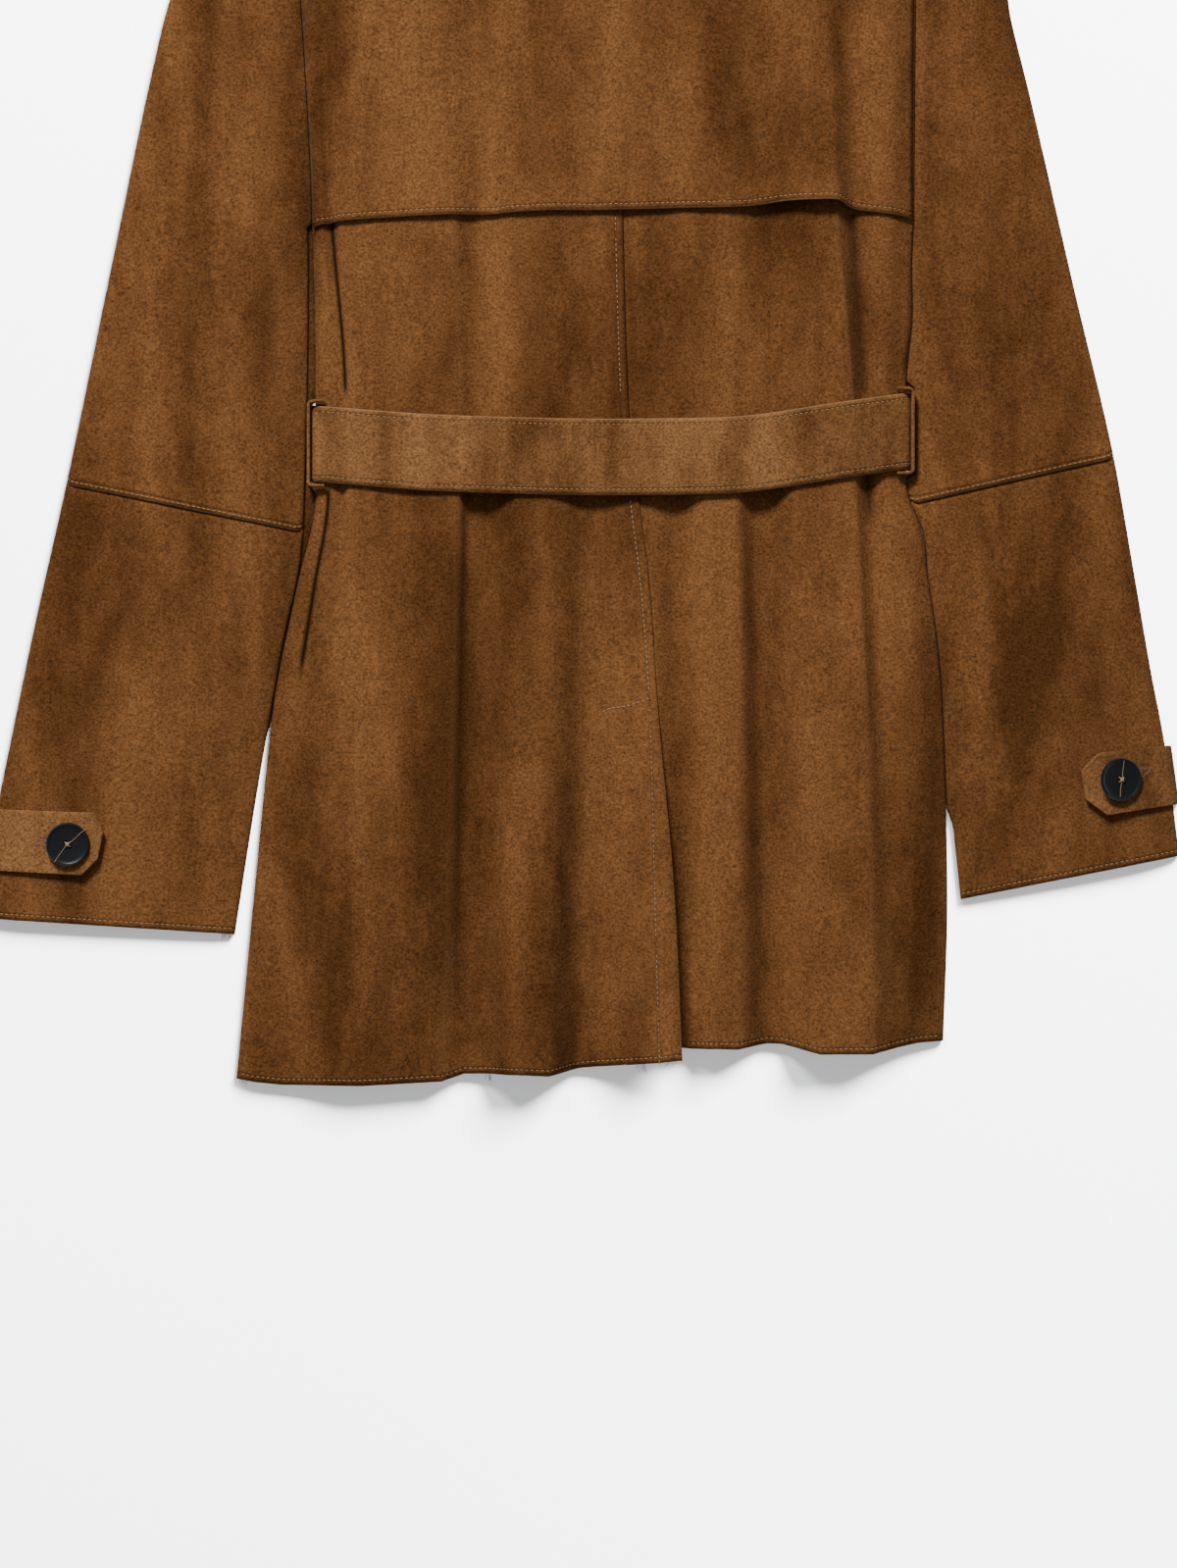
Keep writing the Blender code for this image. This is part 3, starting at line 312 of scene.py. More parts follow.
def make_suede(nap):
    material, tree, shader = new_material(nap.name)
    group = add_node(tree, "ShaderNodeGroup", node_tree=NAP)
    group.inputs["Dark"].default_value = nap.dark
    group.inputs["Light"].default_value = nap.light
    group.inputs["Patch Scale"].default_value = nap.patch_scale
    group.inputs["Grain"].default_value = GRAIN
    seams = add_node(tree, "ShaderNodeGroup", node_tree=SEAMS)
    tree.links.new(attribute(tree, "edge_distance"), seams.inputs["Edge Distance"])
    tree.links.new(attribute(tree, "seam_offset"), seams.inputs["Seam Offset"])
    # Paler crests from the wear attribute: polished nap and a painted highlight.
    worn = blend_colours(tree, arithmetic(tree, "MULTIPLY", attribute(tree, "wear"), POLISH_AND_HIGHLIGHT),
                         group.outputs["Color"], nap.worn)
    # Painted shade: stitch grooves and the deepest folds are blended towards a near-black colour.
    shade = arithmetic(tree, "MULTIPLY", seams.outputs["Groove"], GROOVE_SHADE)
    pocket = remap(tree, attribute(tree, "pocket"), *PAINTED_SHADE_EDGE, 0.0, PAINTED_SHADE_DARKNESS)
    grooved = blend_colours(tree, arithmetic(tree, "MAXIMUM", shade, pocket), worn, DEEP_SHADE)
    raw = arithmetic(tree, "MULTIPLY", seams.outputs["Raw"], RAW_PALENESS)
    tree.links.new(blend_colours(tree, raw, grooved, PALE_BACKING), shader.inputs["Base Color"])
    tree.links.new(remap(tree, group.outputs["Lay"], 0.0, 1.0, 0.96, 0.84), shader.inputs["Roughness"])
    height = arithmetic(tree, "SUBTRACT", group.outputs["Height"],
                        arithmetic(tree, "MULTIPLY", seams.outputs["Groove"], GROOVE_DEPTH))
    add_bump(tree, shader, height, 0.75, 0.0007)
    set_inputs(shader, Specular_IOR_Level=0.05, Sheen_Weight=0.08, Sheen_Roughness=0.5,
               Sheen_Tint=(0.75, 0.5, 0.3, 1))
    return material


suede, light_suede = make_suede(SUEDE), make_suede(LIGHT_SUEDE)
print("made", suede.name, "and", light_suede.name)

# %% Thread and button plastic
THREAD_COLOUR = (0.52, 0.31, 0.14, 1)
PALE_THREAD_COLOUR = (0.52, 0.36, 0.22, 1)
KNOT_COLOUR = (0.55, 0.36, 0.22, 1)
BUTTONHOLE_COLOUR = (0.36, 0.21, 0.13, 1)
PLASTIC_COLOUR = (0.0045, 0.0056, 0.0062, 1)


def make_thread(name, colour):
    material, tree, shader = new_material(name)
    twist = noise(tree, own_place(tree), 1400.0, 2.0)
    dark = tuple(0.55 * c for c in colour[:3]) + (1,)
    tree.links.new(blend_colours(tree, twist, dark, colour), shader.inputs["Base Color"])
    add_bump(tree, shader, twist, 0.4, 0.0002)
    set_inputs(shader, Roughness=0.85, Specular_IOR_Level=0.1)
    return material


def make_plastic():
    material, tree, shader = new_material("dark_plastic")
    place = own_place(tree)
    cloud = noise(tree, place, 160.0, 4.0, 0.6, distortion=0.8)
    lighter = tuple(1.9 * c for c in PLASTIC_COLOUR[:3]) + (1,)
    tree.links.new(blend_colours(tree, cloud, PLASTIC_COLOUR, lighter), shader.inputs["Base Color"])
    rubbed = noise(tree, place, 900.0, 3.0)
    tree.links.new(remap(tree, rubbed, 0.3, 0.7, 0.34, 0.5), shader.inputs["Roughness"])
    add_bump(tree, shader, rubbed, 0.15, 0.0001)
    set_inputs(shader, Specular_IOR_Level=0.28)
    return material


thread = make_thread("topstitch_thread", THREAD_COLOUR)
pale_thread = make_thread("pale_thread", PALE_THREAD_COLOUR)
knot_thread = make_thread("button_thread", KNOT_COLOUR)
buttonhole_thread = make_thread("buttonhole_thread", BUTTONHOLE_COLOUR)
plastic = make_plastic()
print("made", thread.name, pale_thread.name, knot_thread.name, buttonhole_thread.name, plastic.name)

# %% Floor
FLOOR_SIZE, FLOOR_DROP = 12.0, 0.0004   # metres; the floor lies just clear of the cloth
FLOOR_COLOURS = ((0.86, 0.87, 0.885, 1), (0.9, 0.905, 0.915, 1))


def make_floor():
    bpy.ops.mesh.primitive_plane_add(size=FLOOR_SIZE, location=(0, 0, -FLOOR_DROP))
    floor = bpy.context.object
    floor.name = "floor"
    material, tree, shader = new_material("white_floor")
    clouds = noise(tree, own_place(tree), 1.5, 2.0)
    tree.links.new(blend_colours(tree, clouds, *FLOOR_COLOURS), shader.inputs["Base Color"])
    set_inputs(shader, Roughness=0.9, Specular_IOR_Level=0.1)
    floor.data.materials.append(material)
    floor.visible_diffuse = False
    FLOOR_ONLY.objects.link(floor)
    return floor


make_floor()
print("floor laid")

# %% [markdown]
# ## Fold lines
# A coat that lies flat folds along lines that run down its length. Each line is one row: its
# place and its height at nine stations from the shoulder to the hem. A smooth curve with no
# hump of its own joins the values, down the lines and across from one to the next. Sizes are
# millimetres; zero is the middle of the back at the waist, and ORIGIN moves them to the frame.

# %% Driving sizes
ORIGIN = np.array((22.3, -2.5, 0.0))
WALL, DOUBLE = 1.2, 2.4                 # one layer of cloth; belt, loops and tabs have two
SEAM, REST = 0.3, 0.35
NECK_HALF, NECK_Y, NAPE_DIP = 85.0, 430.0, 11.0
TIP_HALF, TIP_DROP = 227.0, 53.0
UNDERARM_Y = 157.0
ROW_STEP, COLUMN_STEP = 4.4, 3.1        # the fine mesh
BELT_HALF = 27.0
BELT_LIFT_Y, BELT_LIFT_HALF, BELT_RAMP = 11.5, 33.0, 24.0
STATIONS = np.array((425, 325, 174, 38, -28, -95, -176, -319, -435), float)
SHOULDER, CHEST, FLAP_LEVEL = STATIONS[0], STATIONS[1], STATIONS[2]
VENT, SKIRT, HEM = STATIONS[6], STATIONS[7], STATIONS[8]

# %% Fold tables of the back
Fold = namedtuple("Fold", "name sharp hem x z")
LEFT_BACK = (
    Fold("side", False, -445, (-227, -219, -211, -208.5, -208.5, -222, -238, -253, -265),
         (2.9, 5.4, 5.4, 8.0, 8.0, 5.4, 5.4, 5.4, 5.4)),
    Fold("side strip", False, -447, (-218, -212, -204, -199, -199, -209, -222, -241, -252),
         (2.9, 8.5, 9, 9.5, 9.5, 9, 8, 8, 8)),
    Fold("folded valley", True, -449, (-206, -202, -197, -187, -189, -190, -199, -220, -231),
         (2.9, 6.2, 6, 7.2, 7.2, 7.5, 8.6, 9, 8.6)),
    Fold("folded edge", False, -449, (-198, -195, -190, -181, -183, -181, -186, -208, -218),
         (2.9, 11, 14, 13, 13, 12, 10, 11, 10)),
    Fold("side ridge", False, -449, (-150, -152, -147, -144, -147, -150, -154, -165, -175),
         (2.9, 15, 16, 14, 14, 16, 18, 18.5, 18)),
    Fold("left crease", True, -446, (-112, -115, -111, -105, -105.5, -107, -109, -113, -118),
         (2.9, 14, 15, 14, 18, 18, 18, 17, 16)),
    Fold("crease foot", False, -441, (-100, -98, -98, -96, -99, -100, -101, -102, -102),
         (2.9, 9, 9, 9, 7.2, 7, 7.2, 7, 7)),
    Fold("left valley", False, -441, (-86, -84, -84, -85, -86, -89, -90, -90, -89),
         (2.9, 8, 8.5, 8.5, 7.2, 7.5, 8, 8, 8)),
    Fold("left ridge", False, -440.5, (-66, -66, -66, -63, -63, -64, -64, -63, -63),
         (2.9, 15, 16, 16, 19, 21, 22, 25, 28)),
    Fold("left ridge end", False, -441.5, (-48, -49, -50, -48, -45, -42, -41, -41, -42),
         (2.9, 15, 16, 16, 19, 21, 22, 25, 27)),
    Fold("middle valley", False, -437, (-10, -10, -10, -10, -10, -11, -12, -15, -20),
         (2.9, 11, 11.5, 12, 12, 12, 11, 8, 7)),
    Fold("stitch line", False, -432, (2, 3, 5, 9, 15, 23, 29, 33, 36),
         (2.9, 12, 12, 13, 16, 18, 20, 24, 27)),
    Fold("centre edge", False, -430, (7, 8, 10, 14, 21, 29, 34.5, 47, 52),
         (2.9, 12, 12, 13, 16.5, 19, 22, 27, 30)),
)
RIGHT_BACK = (
    Fold("centre seam", True, -422, (7.8, 8.8, 9.6, 13.6, 20.6, 28.6, 34.1, 47, 52),
         (2.9, 11, 10.4, 11.4, 14.9, 17.4, 20.3, 18, 16.5)),
    Fold("seam foot", False, -423, (33, 34, 35, 47, 49, 52, 55, 58, 60),
         (2.9, 9.5, 9.5, 10, 9.5, 10, 12, 13, 13)),
    Fold("right ridge", False, -422.5, (56, 57, 60, 64, 69, 73, 76, 77, 76),
         (2.9, 14, 15, 16, 17.5, 19, 20, 21, 22)),
    Fold("right ridge end", False, -423, (76, 77, 80, 82, 90, 92, 93, 95, 92),
         (2.9, 14.5, 15.5, 16, 17.5, 19, 20, 20.5, 20.5)),
    Fold("deep valley", False, -419.5, (105, 106, 108, 103, 104, 106, 109, 112, 113),
         (2.9, 9, 9, 9, 7.2, 7, 7, 7, 7)),
    Fold("deep valley end", False, -420, (115, 116, 118, 112, 112, 114, 117, 122, 124),
         (2.9, 8.5, 8.5, 8.5, 7.2, 7.2, 7.5, 7.5, 7.5)),
    Fold("broad ridge", False, -426, (136, 137, 139, 134, 133, 138, 141, 149, 150),
         (2.9, 15, 16, 16, 18, 20.5, 22, 24, 27)),
    Fold("right crease", True, -426, (159, 159, 162, 173, 175, 178, 182, 186, 187),
         (2.9, 15, 17.5, 17, 18, 20, 21.5, 23.5, 25.5)),
    Fold("right crease foot", False, -422, (172, 173, 174, 182, 185, 190, 195, 203, 205),
         (2.9, 8.5, 8.5, 8.5, 8.5, 9.5, 11, 13, 15)),
    Fold("side bump", False, -419, (196, 196, 198, 196, 197, 207, 214, 218, 220),
         (2.9, 12, 12.5, 12, 12, 12.5, 13, 12, 10)),
    Fold("side", False, -418, (227, 219, 217.5, 212, 212.4, 229, 238, 242, 239),
         (2.9, 5.4, 5.4, 8.0, 8.0, 5.4, 5.4, 5.4, 5.4)),
)
Underlap = namedtuple("Underlap", "name top hem x z")
UNDERLAP = (
    Underlap("inner edge", -186, -424, (-7, 10, 14), (9.2, 12, 12.5)),
    Underlap("middle", -181, -424, (14, 22, 25), (13.6, 14.5, 14)),
    Underlap("under the stitches", -177, -423, (29, 33, 36), (17.6, 16.5, 15.5)),
)
print("fold lines:", len(LEFT_BACK), "left,", len(RIGHT_BACK), "right")

# %% Small creases of the body
# A crease runs between two points; it is a soft ridge, or a trough where its height is below 0.
Crease = namedtuple("Crease", "name start end width height bow")
BODY_CREASES = (
    Crease("upper left band", (-140, 168), (-134, 60), 9, 0.9, 3),
    Crease("upper left trough", (-122, 160), (-124, 74), 6, -0.8, -2),
    Crease("upper mid band", (-38, 172), (-30, 62), 8, 0.8, 3),
    Crease("beside the seam", (30, 160), (27, 78), 5, -0.7, 1),
    Crease("upper right band", (98, 168), (92, 66), 6, 0.9, -3),
    Crease("upper right trough", (147, 166), (152, 64), 5, -1.0, 2),
    Crease("near the right crease", (186, 160), (190, 80), 4, 0.9, 1),
    Crease("under belt, left", (-142, -50), (-152, -150), 8, 0.9, -3),
    Crease("under belt, mid left", (-38, -54), (-28, -190), 8, 1.0, 4),
    Crease("under belt, seam side", (2, -60), (8, -170), 6, -0.7, 2),
    Crease("right of the seam", (42, -60), (46, -200), 5, -0.9, 3),
    Crease("right ridge line", (62, -52), (66, -230), 3, 1.1, 2),
    Crease("right ridge trough", (82, -60), (86, -210), 5, -0.8, 2),
    Crease("broad ridge line", (152, -56), (160, -260), 9, 0.9, -5),
    Crease("side gather", (194, -60), (206, -180), 4, 1.2, 3),
    Crease("side gather trough", (203, -70), (217, -200), 4, -1.0, 2),
    Crease("skirt left band", (-196, -210), (-206, -390), 12, 1.0, 5),
    Crease("skirt left trough", (-150, -240), (-140, -400), 12, -1.1, -6),
    Crease("skirt mid band", (-28, -250), (-36, -420), 8, -0.9, 5),
    Crease("skirt right band", (172, -240), (176, -400), 9, -0.9, 3),
    Crease("corner of the hem", (-250, -372), (-222, -440), 7, -1.4, 5),
    Crease("mark by the seam", (26, 80), (33, 79), 2.0, 0.35, 0),
    Crease("shallow dent", (-168, -300), (-120, -332), 14, -0.8, 8),
    Crease("shallow dent right", (120, -300), (160, -326), 12, -0.7, 6),
)
print("small creases:", len(BODY_CREASES))

# %% [markdown]
# ## Curves through the tables
# The curve between two values of a table never runs past them, so a flat stretch stays flat
# and no fold gets a hump that nobody asked for.

# %% Curve helpers
def row_slopes(at, values):
    """Slopes along the last axis of a curve with no hump of its own between the values."""
    rise = np.diff(values, axis=-1) / np.diff(at, axis=-1)
    before, after = rise[..., :-1], rise[..., 1:]
    same_way = before * after > 0
    inner = np.where(same_way, 2 * before * after / np.where(same_way, before + after, 1.0), 0.0)
    return np.concatenate([rise[..., :1], inner, rise[..., -1:]], axis=-1)


def hermite(t, span, start, end, slope_start, slope_end):
    return (start * (1 + 2 * t) * (1 - t) ** 2 + end * t * t * (3 - 2 * t)
            + span * (slope_start * t * (1 - t) ** 2 - slope_end * t * t * (1 - t)))


def read_curve(at, values, where):
    """The smooth curve through values at rising places, read at many places at once."""
    at, values, where = (np.asarray(v, float) for v in (at, values, where))
    slopes = row_slopes(at, values)
    i = np.clip(np.searchsorted(at, where) - 1, 0, len(at) - 2)
    span = at[i + 1] - at[i]
    t = np.clip((where - at[i]) / span, 0.0, 1.0)
    return hermite(t, span, values[i], values[i + 1], slopes[i], slopes[i + 1])


def read_stations(values, levels):
    return read_curve(-STATIONS, values, -np.asarray(levels, float))


def distances(points):
    """How far along a path each of its points is."""
    return np.concatenate([[0], np.cumsum(np.linalg.norm(np.diff(points, axis=0), axis=1))])


def on_path(where, at, points):
    """Points on the straight stretches of a path."""
    return np.stack([np.interp(where, at, column) for column in points.T], axis=-1)


def on_curve(where, at, points):
    """Points on the smooth path through a few; each may be two, three or more numbers."""
    return np.stack([read_curve(at, column, where) for column in points.T], axis=-1)


def curved(points, steps):
    """Evenly spaced points on the smooth path through a few."""
    points = np.array(points, float)
    at = distances(points)
    return on_curve(np.linspace(0, at[-1], steps), at, points)


def smooth(t):
    t = np.clip(t, 0.0, 1.0)
    return t * t * (3 - 2 * t)


def spread(stops, step):
    """Evenly spaced places that pass through each stop; the stops rise or fall."""
    places = []
    for first, last in zip(stops, stops[1:]):
        count = max(1, round(abs(last - first) / step))
        places += [first + (last - first) * k / count for k in range(count)]
    return np.array(places + [stops[-1]], float)


print("curve of 3 values at the middle:", float(read_curve([0, 1, 2], [0, 5, 6], [1.0])[0]))

# %% [markdown]
# ## From a grid of points to a cloth piece
# Every cloth piece here is a grid of points on its outer side. The Solidify modifier puts the
# cloth's thickness under it. A point that is missing, written as nan, leaves a hole, which is
# how the armholes stay open.

# %% Cloth helpers
FAR_AWAY = 99.0
COAT = bpy.data.collections.new("coat")
bpy.context.scene.collection.children.link(COAT)


def surface_mesh(name, grid, ring=False):
    """Faces between the points of a (rows, columns, 3) grid in millimetres."""
    rows, columns = grid.shape[:2]
    points = (grid + ORIGIN).reshape(-1, 3) * 0.001
    there = ~np.isnan(points[:, 0])
    number = np.cumsum(there) - 1
    faces = []
    for r in range(rows - 1):
        for c in range(columns if ring else columns - 1):
            d = (c + 1) % columns
            corners = (r * columns + c, (r + 1) * columns + c, (r + 1) * columns + d, r * columns + d)
            if there[list(corners)].all():
                faces.append([int(number[k]) for k in corners])
    mesh = bpy.data.meshes.new(name)
    mesh.from_pydata(points[there].tolist(), [], faces)
    mesh.shade_smooth()
    return mesh, there


def paint(mesh, there, **masks):
    """Point attributes that the materials read; each mask is a grid of numbers."""
    for name, values in masks.items():
        layer = mesh.attributes.new(name, "FLOAT", "POINT")
        layer.data.foreach_set("value", values.reshape(-1)[there].astype(np.float32))


def lengths(points):
    """Length along each row of a grid of points, missing ones left out."""
    steps = np.linalg.norm(np.diff(points, axis=1), axis=2)
    return np.nansum(steps, axis=1)


def cut_size(grid):
    """Width, length and area of the flat piece that this grid was cut as, in metres."""
    across, down = np.diff(grid, axis=1), np.diff(grid, axis=0)
    cells = np.linalg.norm(np.cross(across[:-1], down[:, :-1]), axis=2)
    width = float(lengths(grid).max()) / 1000
    length = float(lengths(grid.transpose(1, 0, 2)).max()) / 1000
    return width, length, min(float(np.nansum(cells)) / 1e6, width * length)


def add_object(name, mesh, material):
    piece = bpy.data.objects.new(name, mesh)
    COAT.objects.link(piece)
    mesh.materials.append(material)
    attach(piece, "root")
    return piece


def edge_distance(grid, edges):
    """Millimetres along the cloth from each point to the nearest of the named cut edges."""
    nearest = np.full(grid.shape[:2], FAR_AWAY)
    for edge in edges:
        axis = 0 if edge in ("top", "bottom") else 1
        back = edge in ("bottom", "right")
        turned = np.flip(grid, axis) if back else grid
        steps = np.nan_to_num(np.linalg.norm(np.diff(turned, axis=axis), axis=2))
        done = np.insert(np.cumsum(steps, axis=axis), 0, 0.0, axis=axis)
        nearest = np.minimum(nearest, np.flip(done, axis) if back else done)
    return nearest


def add_cloth(name, node, grid, material, wall=WALL, ring=False, rests_on=(), edges=(), **masks):
    """A shell that stands for a solid of the frame, with its finish, and the size of its cut printed.
    """
    mesh, there = surface_mesh(name, grid, ring)
    plain = {"wear": np.zeros(grid.shape[:2]), "seam_offset": np.full(grid.shape[:2], FAR_AWAY)}
    paint(mesh, there, edge_distance=edge_distance(grid, edges), **(plain | masks))
    piece = add_object(name, mesh, material)
    solid = piece.modifiers.new("wall", "SOLIDIFY")
    solid.thickness = wall * 0.001
    solid.offset = -1.0
    solid.use_quality_normals = True
    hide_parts(node)
    width, length, area = cut_size(grid)
    print(f"{name}: {width * 1000:.0f} x {length * 1000:.0f} mm, {len(mesh.polygons)} faces")
    return piece


def normals_of(grid):
    """The outward normal at each point of a grid, from its neighbours."""
    across = np.empty_like(grid)
    across[:, 1:-1] = grid[:, 2:] - grid[:, :-2]
    across[:, 0], across[:, -1] = grid[:, 1] - grid[:, 0], grid[:, -1] - grid[:, -2]
    up = np.empty_like(grid)
    up[1:-1] = grid[:-2] - grid[2:]
    up[0], up[-1] = grid[0] - grid[1], grid[-2] - grid[-1]
    normal = np.cross(across, up)
    return normal / np.maximum(np.linalg.norm(normal, axis=2, keepdims=True), 1e-9)


print("cloth helpers are ready")

# %% [markdown]
# ## The back panels
# The fold tables are read at every row of the mesh. The body's sides turn under as a rolled
# edge, down to the floor, and stop short of the armholes above the underarm. The small
# creases are added to the height, and fade out under the belt, where the cloth is held.

# %% Fold lines to a surface
TURN = ((4.2, 0.0), (1.5, 0.0), (0.35, 0.9), (0.0, 2.4), (0.7, 4.2))
TURN_TOP, TURN_COLUMNS, SIDE_TOP = 2.5, 9, 5.4
ARMHOLE_Z, ARMHOLE_CUT = 4.6, 2.3
BODY_BENDS = (BELT_LIFT_Y + BELT_LIFT_HALF + BELT_RAMP, BELT_LIFT_Y + BELT_LIFT_HALF,
              BELT_LIFT_Y - BELT_LIFT_HALF, BELT_LIFT_Y - BELT_LIFT_HALF - BELT_RAMP,
              UNDERARM_Y, UNDERARM_Y + 2)
RELIEF_FADE, SHOULDER_FADE = 10.0, 60.0
HOLD_Y, HOLD_HALF, HOLD_RAMP = 4.0, 44.0, 22.0
CREASE_OVERRUN, CREASE_TAPER = 0.12, 0.3


def shoulder_y(x):
    neck = NECK_Y - NAPE_DIP * (1 - (x / NECK_HALF) ** 2)
    slope = NECK_Y - TIP_DROP * (np.abs(x) - NECK_HALF) / (TIP_HALF - NECK_HALF)
    return np.where(np.abs(x) <= NECK_HALF, neck, slope)


def true_y(y, shoulder, hem):
    """Rows are level in the table's terms; at the shoulder and hem they follow the edge."""
    top = CHEST + (shoulder - CHEST) * (y - CHEST) / (SHOULDER - CHEST)
    low = SKIRT + (hem - SKIRT) * (y - SKIRT) / (HEM - SKIRT)
    return np.where(y > CHEST, top, np.where(y < SKIRT, low, y + 0 * shoulder))


def belt_lift(y):
    t = (np.abs(y - BELT_LIFT_Y) - BELT_LIFT_HALF) / BELT_RAMP
    return (DOUBLE + SEAM) * (1 - smooth(t))


def levels_between(top, bottom, step=ROW_STEP):
    stops = [top, bottom] + [s for s in list(STATIONS) + list(BODY_BENDS) if bottom < s < top]
    return spread(sorted(stops, reverse=True), step)


def side_of(folds):
    return -1 if folds[0].name == "side" else 1


def outer_fold(folds):
    return folds[0] if side_of(folds) < 0 else folds[-1]


def side_at_waist(folds):
    """How far the body's edge is from the middle of the back."""
    return abs(float(read_stations(outer_fold(folds).x, [0])[0]))


Swell = namedtuple("Swell", "level half out")
RIGHT_SIDE_SWELLS = (Swell(95, 45, 2.6), Swell(-55, 36, 6.5))


def side_x(folds, levels):
    """The body's outer edge; on the right it swells out above and below the belt."""
    edge = read_stations(outer_fold(folds).x, levels)
    if side_of(folds) < 0:
        return edge
    away = [np.abs(np.asarray(levels) - swell.level) / swell.half for swell in RIGHT_SIDE_SWELLS]
    return edge + sum(swell.out * smooth(1 - off) for swell, off in zip(RIGHT_SIDE_SWELLS, away))


SHARP_IN, SHARP_OUT = 0.6, 1.1          # how much of the slope a sharp fold keeps on each side


def back_section(folds, levels):
    """x, z and the slopes left and right of every fold line at every level."""
    x = np.stack([read_stations(fold.x, levels) for fold in folds], axis=1)
    z = np.stack([read_stations(fold.z, levels) for fold in folds], axis=1)
    edge = 0 if side_of(folds) < 0 else -1
    x[:, edge] = side_x(folds, levels) - side_of(folds) * TURN_TOP
    rise = np.diff(z, axis=1) / np.diff(x, axis=1)
    left, right = row_slopes(x, z), row_slopes(x, z)
    for i, fold in enumerate(folds):
        if fold.sharp and 0 < i < len(folds) - 1:
            left[:, i], right[:, i] = SHARP_IN * rise[:, i - 1], SHARP_OUT * rise[:, i]
    return x, z, left, right


def column_plan(folds, step=COLUMN_STEP):
    """The fold interval and the share of it at which each column of the mesh stands."""
    x = back_section(folds, [STATIONS[5]])[0][0]
    intervals, shares = [], []
    for i in range(len(folds) - 1):
        count = max(2, round((x[i + 1] - x[i]) / step))
        intervals += [i] * count
        shares += [k / count for k in range(count)]
    return np.array(intervals + [len(folds) - 2]), np.array(shares + [1.0])


def relief(creases, x, y):
    """Height that a table of creases adds at each point."""
    total = np.zeros_like(x)
    for crease in creases:
        start, end = np.array(crease.start, float), np.array(crease.end, float)
        length = np.linalg.norm(end - start)
        along = (end - start) / length
        s = ((x - start[0]) * along[0] + (y - start[1]) * along[1]) / length
        side = (x - start[0]) * -along[1] + (y - start[1]) * along[0]
        side = side - crease.bow * 4 * np.clip(s, 0, 1) * (1 - np.clip(s, 0, 1))
        taper = smooth((s + CREASE_OVERRUN) / CREASE_TAPER)
        taper = taper * smooth((1 + CREASE_OVERRUN - s) / CREASE_TAPER)
        total += crease.height * taper * np.exp(-(side / crease.width) ** 2)
    return total


def held_by_belt(y):
    """0 under the belt and 1 away from it."""
    return smooth((np.abs(y - HOLD_Y) - HOLD_HALF) / HOLD_RAMP)


print("levels of the back:", len(levels_between(SHOULDER, HEM)))

# %% Rows of a back panel
# Stretches of fold lines that lie in deep shade, which is painted into their colour, and the
# folds whose crests are paler, as polished nap and a painted highlight.
Deep = namedtuple("Deep", "name top bottom fade half dark")
SHADE_PAINTED_FOLDS = (
    Deep("folded valley", 172, 38, 10, 3.0, 1.0),
    Deep("side strip", -18, -172, 30, 3.2, 1.0),
    Deep("right crease foot", 176, 34, 12, 9.0, 0.62),
    Deep("right crease foot", -10, -75, 45, 9.0, 0.7),
    Deep("crease foot", -14, -46, 22, 9.0, 0.7),
)
DEEP_TOP_FADE = 9
WORN_AND_HIGHLIT_FOLDS = {"left crease": 0.7, "folded edge": 0.35, "right crease": 0.7, "right ridge": 0.35,
              "stitch line": 0.35, "centre seam": 0.5}


def turn_points(height_of_turn):
    """Inset and height along the rolled side edge, from the floor up."""
    inset = np.array([p[0] for p in TURN] + [TURN_TOP])
    height = np.array([p[1] for p in TURN] + [height_of_turn])
    at = np.concatenate([[0], np.cumsum(np.hypot(np.diff(inset), np.diff(height)))])
    where = np.linspace(0, at[-1], TURN_COLUMNS + 1)[:-1]
    return read_curve(at, inset, where), read_curve(at, height, where)


def rolled_side(folds, levels):
    """The side of the body, turned under to the floor, and cut off at the armhole."""
    outer, level = outer_fold(folds), levels[:, None]
    edge, top = side_x(folds, levels)[:, None], read_stations(outer.z, levels)[:, None]
    inset, height = turn_points(SIDE_TOP)
    roll = np.minimum(height, top - 0.4) + belt_lift(level)
    open_edge = np.minimum(ARMHOLE_Z, top - 0.6)
    hanging = open_edge + (top - open_edge) * np.clip(inset / TURN_TOP, 0, 1)
    y = true_y(level, shoulder_y(edge + 0 * inset), outer.hem)
    turn = np.stack([edge - side_of(folds) * inset, y,
                     np.where(level > UNDERARM_Y, hanging, roll)], axis=2)
    turn[(height < ARMHOLE_CUT) & (level > UNDERARM_Y)] = np.nan
    return turn


def back_grid(folds, levels):
    x, z, left, right = back_section(folds, levels)
    i, t = column_plan(folds)
    span = x[:, i + 1] - x[:, i]
    xs = x[:, i] + t * span
    zs = hermite(t, span, z[:, i], z[:, i + 1], right[:, i], left[:, i + 1])
    hem_of = np.array([fold.hem for fold in folds], float)
    hem = hem_of[i] + t * (hem_of[i + 1] - hem_of[i])
    ys = true_y(levels[:, None], shoulder_y(xs), hem)
    edge = side_x(folds, levels)[:, None]
    fade = smooth(np.abs(xs - edge) / RELIEF_FADE - 0.3) * held_by_belt(ys)
    fade *= smooth((SHOULDER - levels[:, None]) / SHOULDER_FADE)
    zs = zs + relief(BODY_CREASES, xs, ys) * fade
    body, turn = np.stack([xs, ys, zs], axis=2), rolled_side(folds, levels)
    return np.concatenate([turn, body] if side_of(folds) < 0 else [body, turn[:, ::-1]], axis=1)


def fold_column(folds, name):
    """The column of the mesh that runs along a named fold line."""
    i, t = column_plan(folds)
    number = [fold.name for fold in folds].index(name)
    return (TURN_COLUMNS if side_of(folds) < 0 else 0) + int(np.argmin(np.abs(i + t - number)))


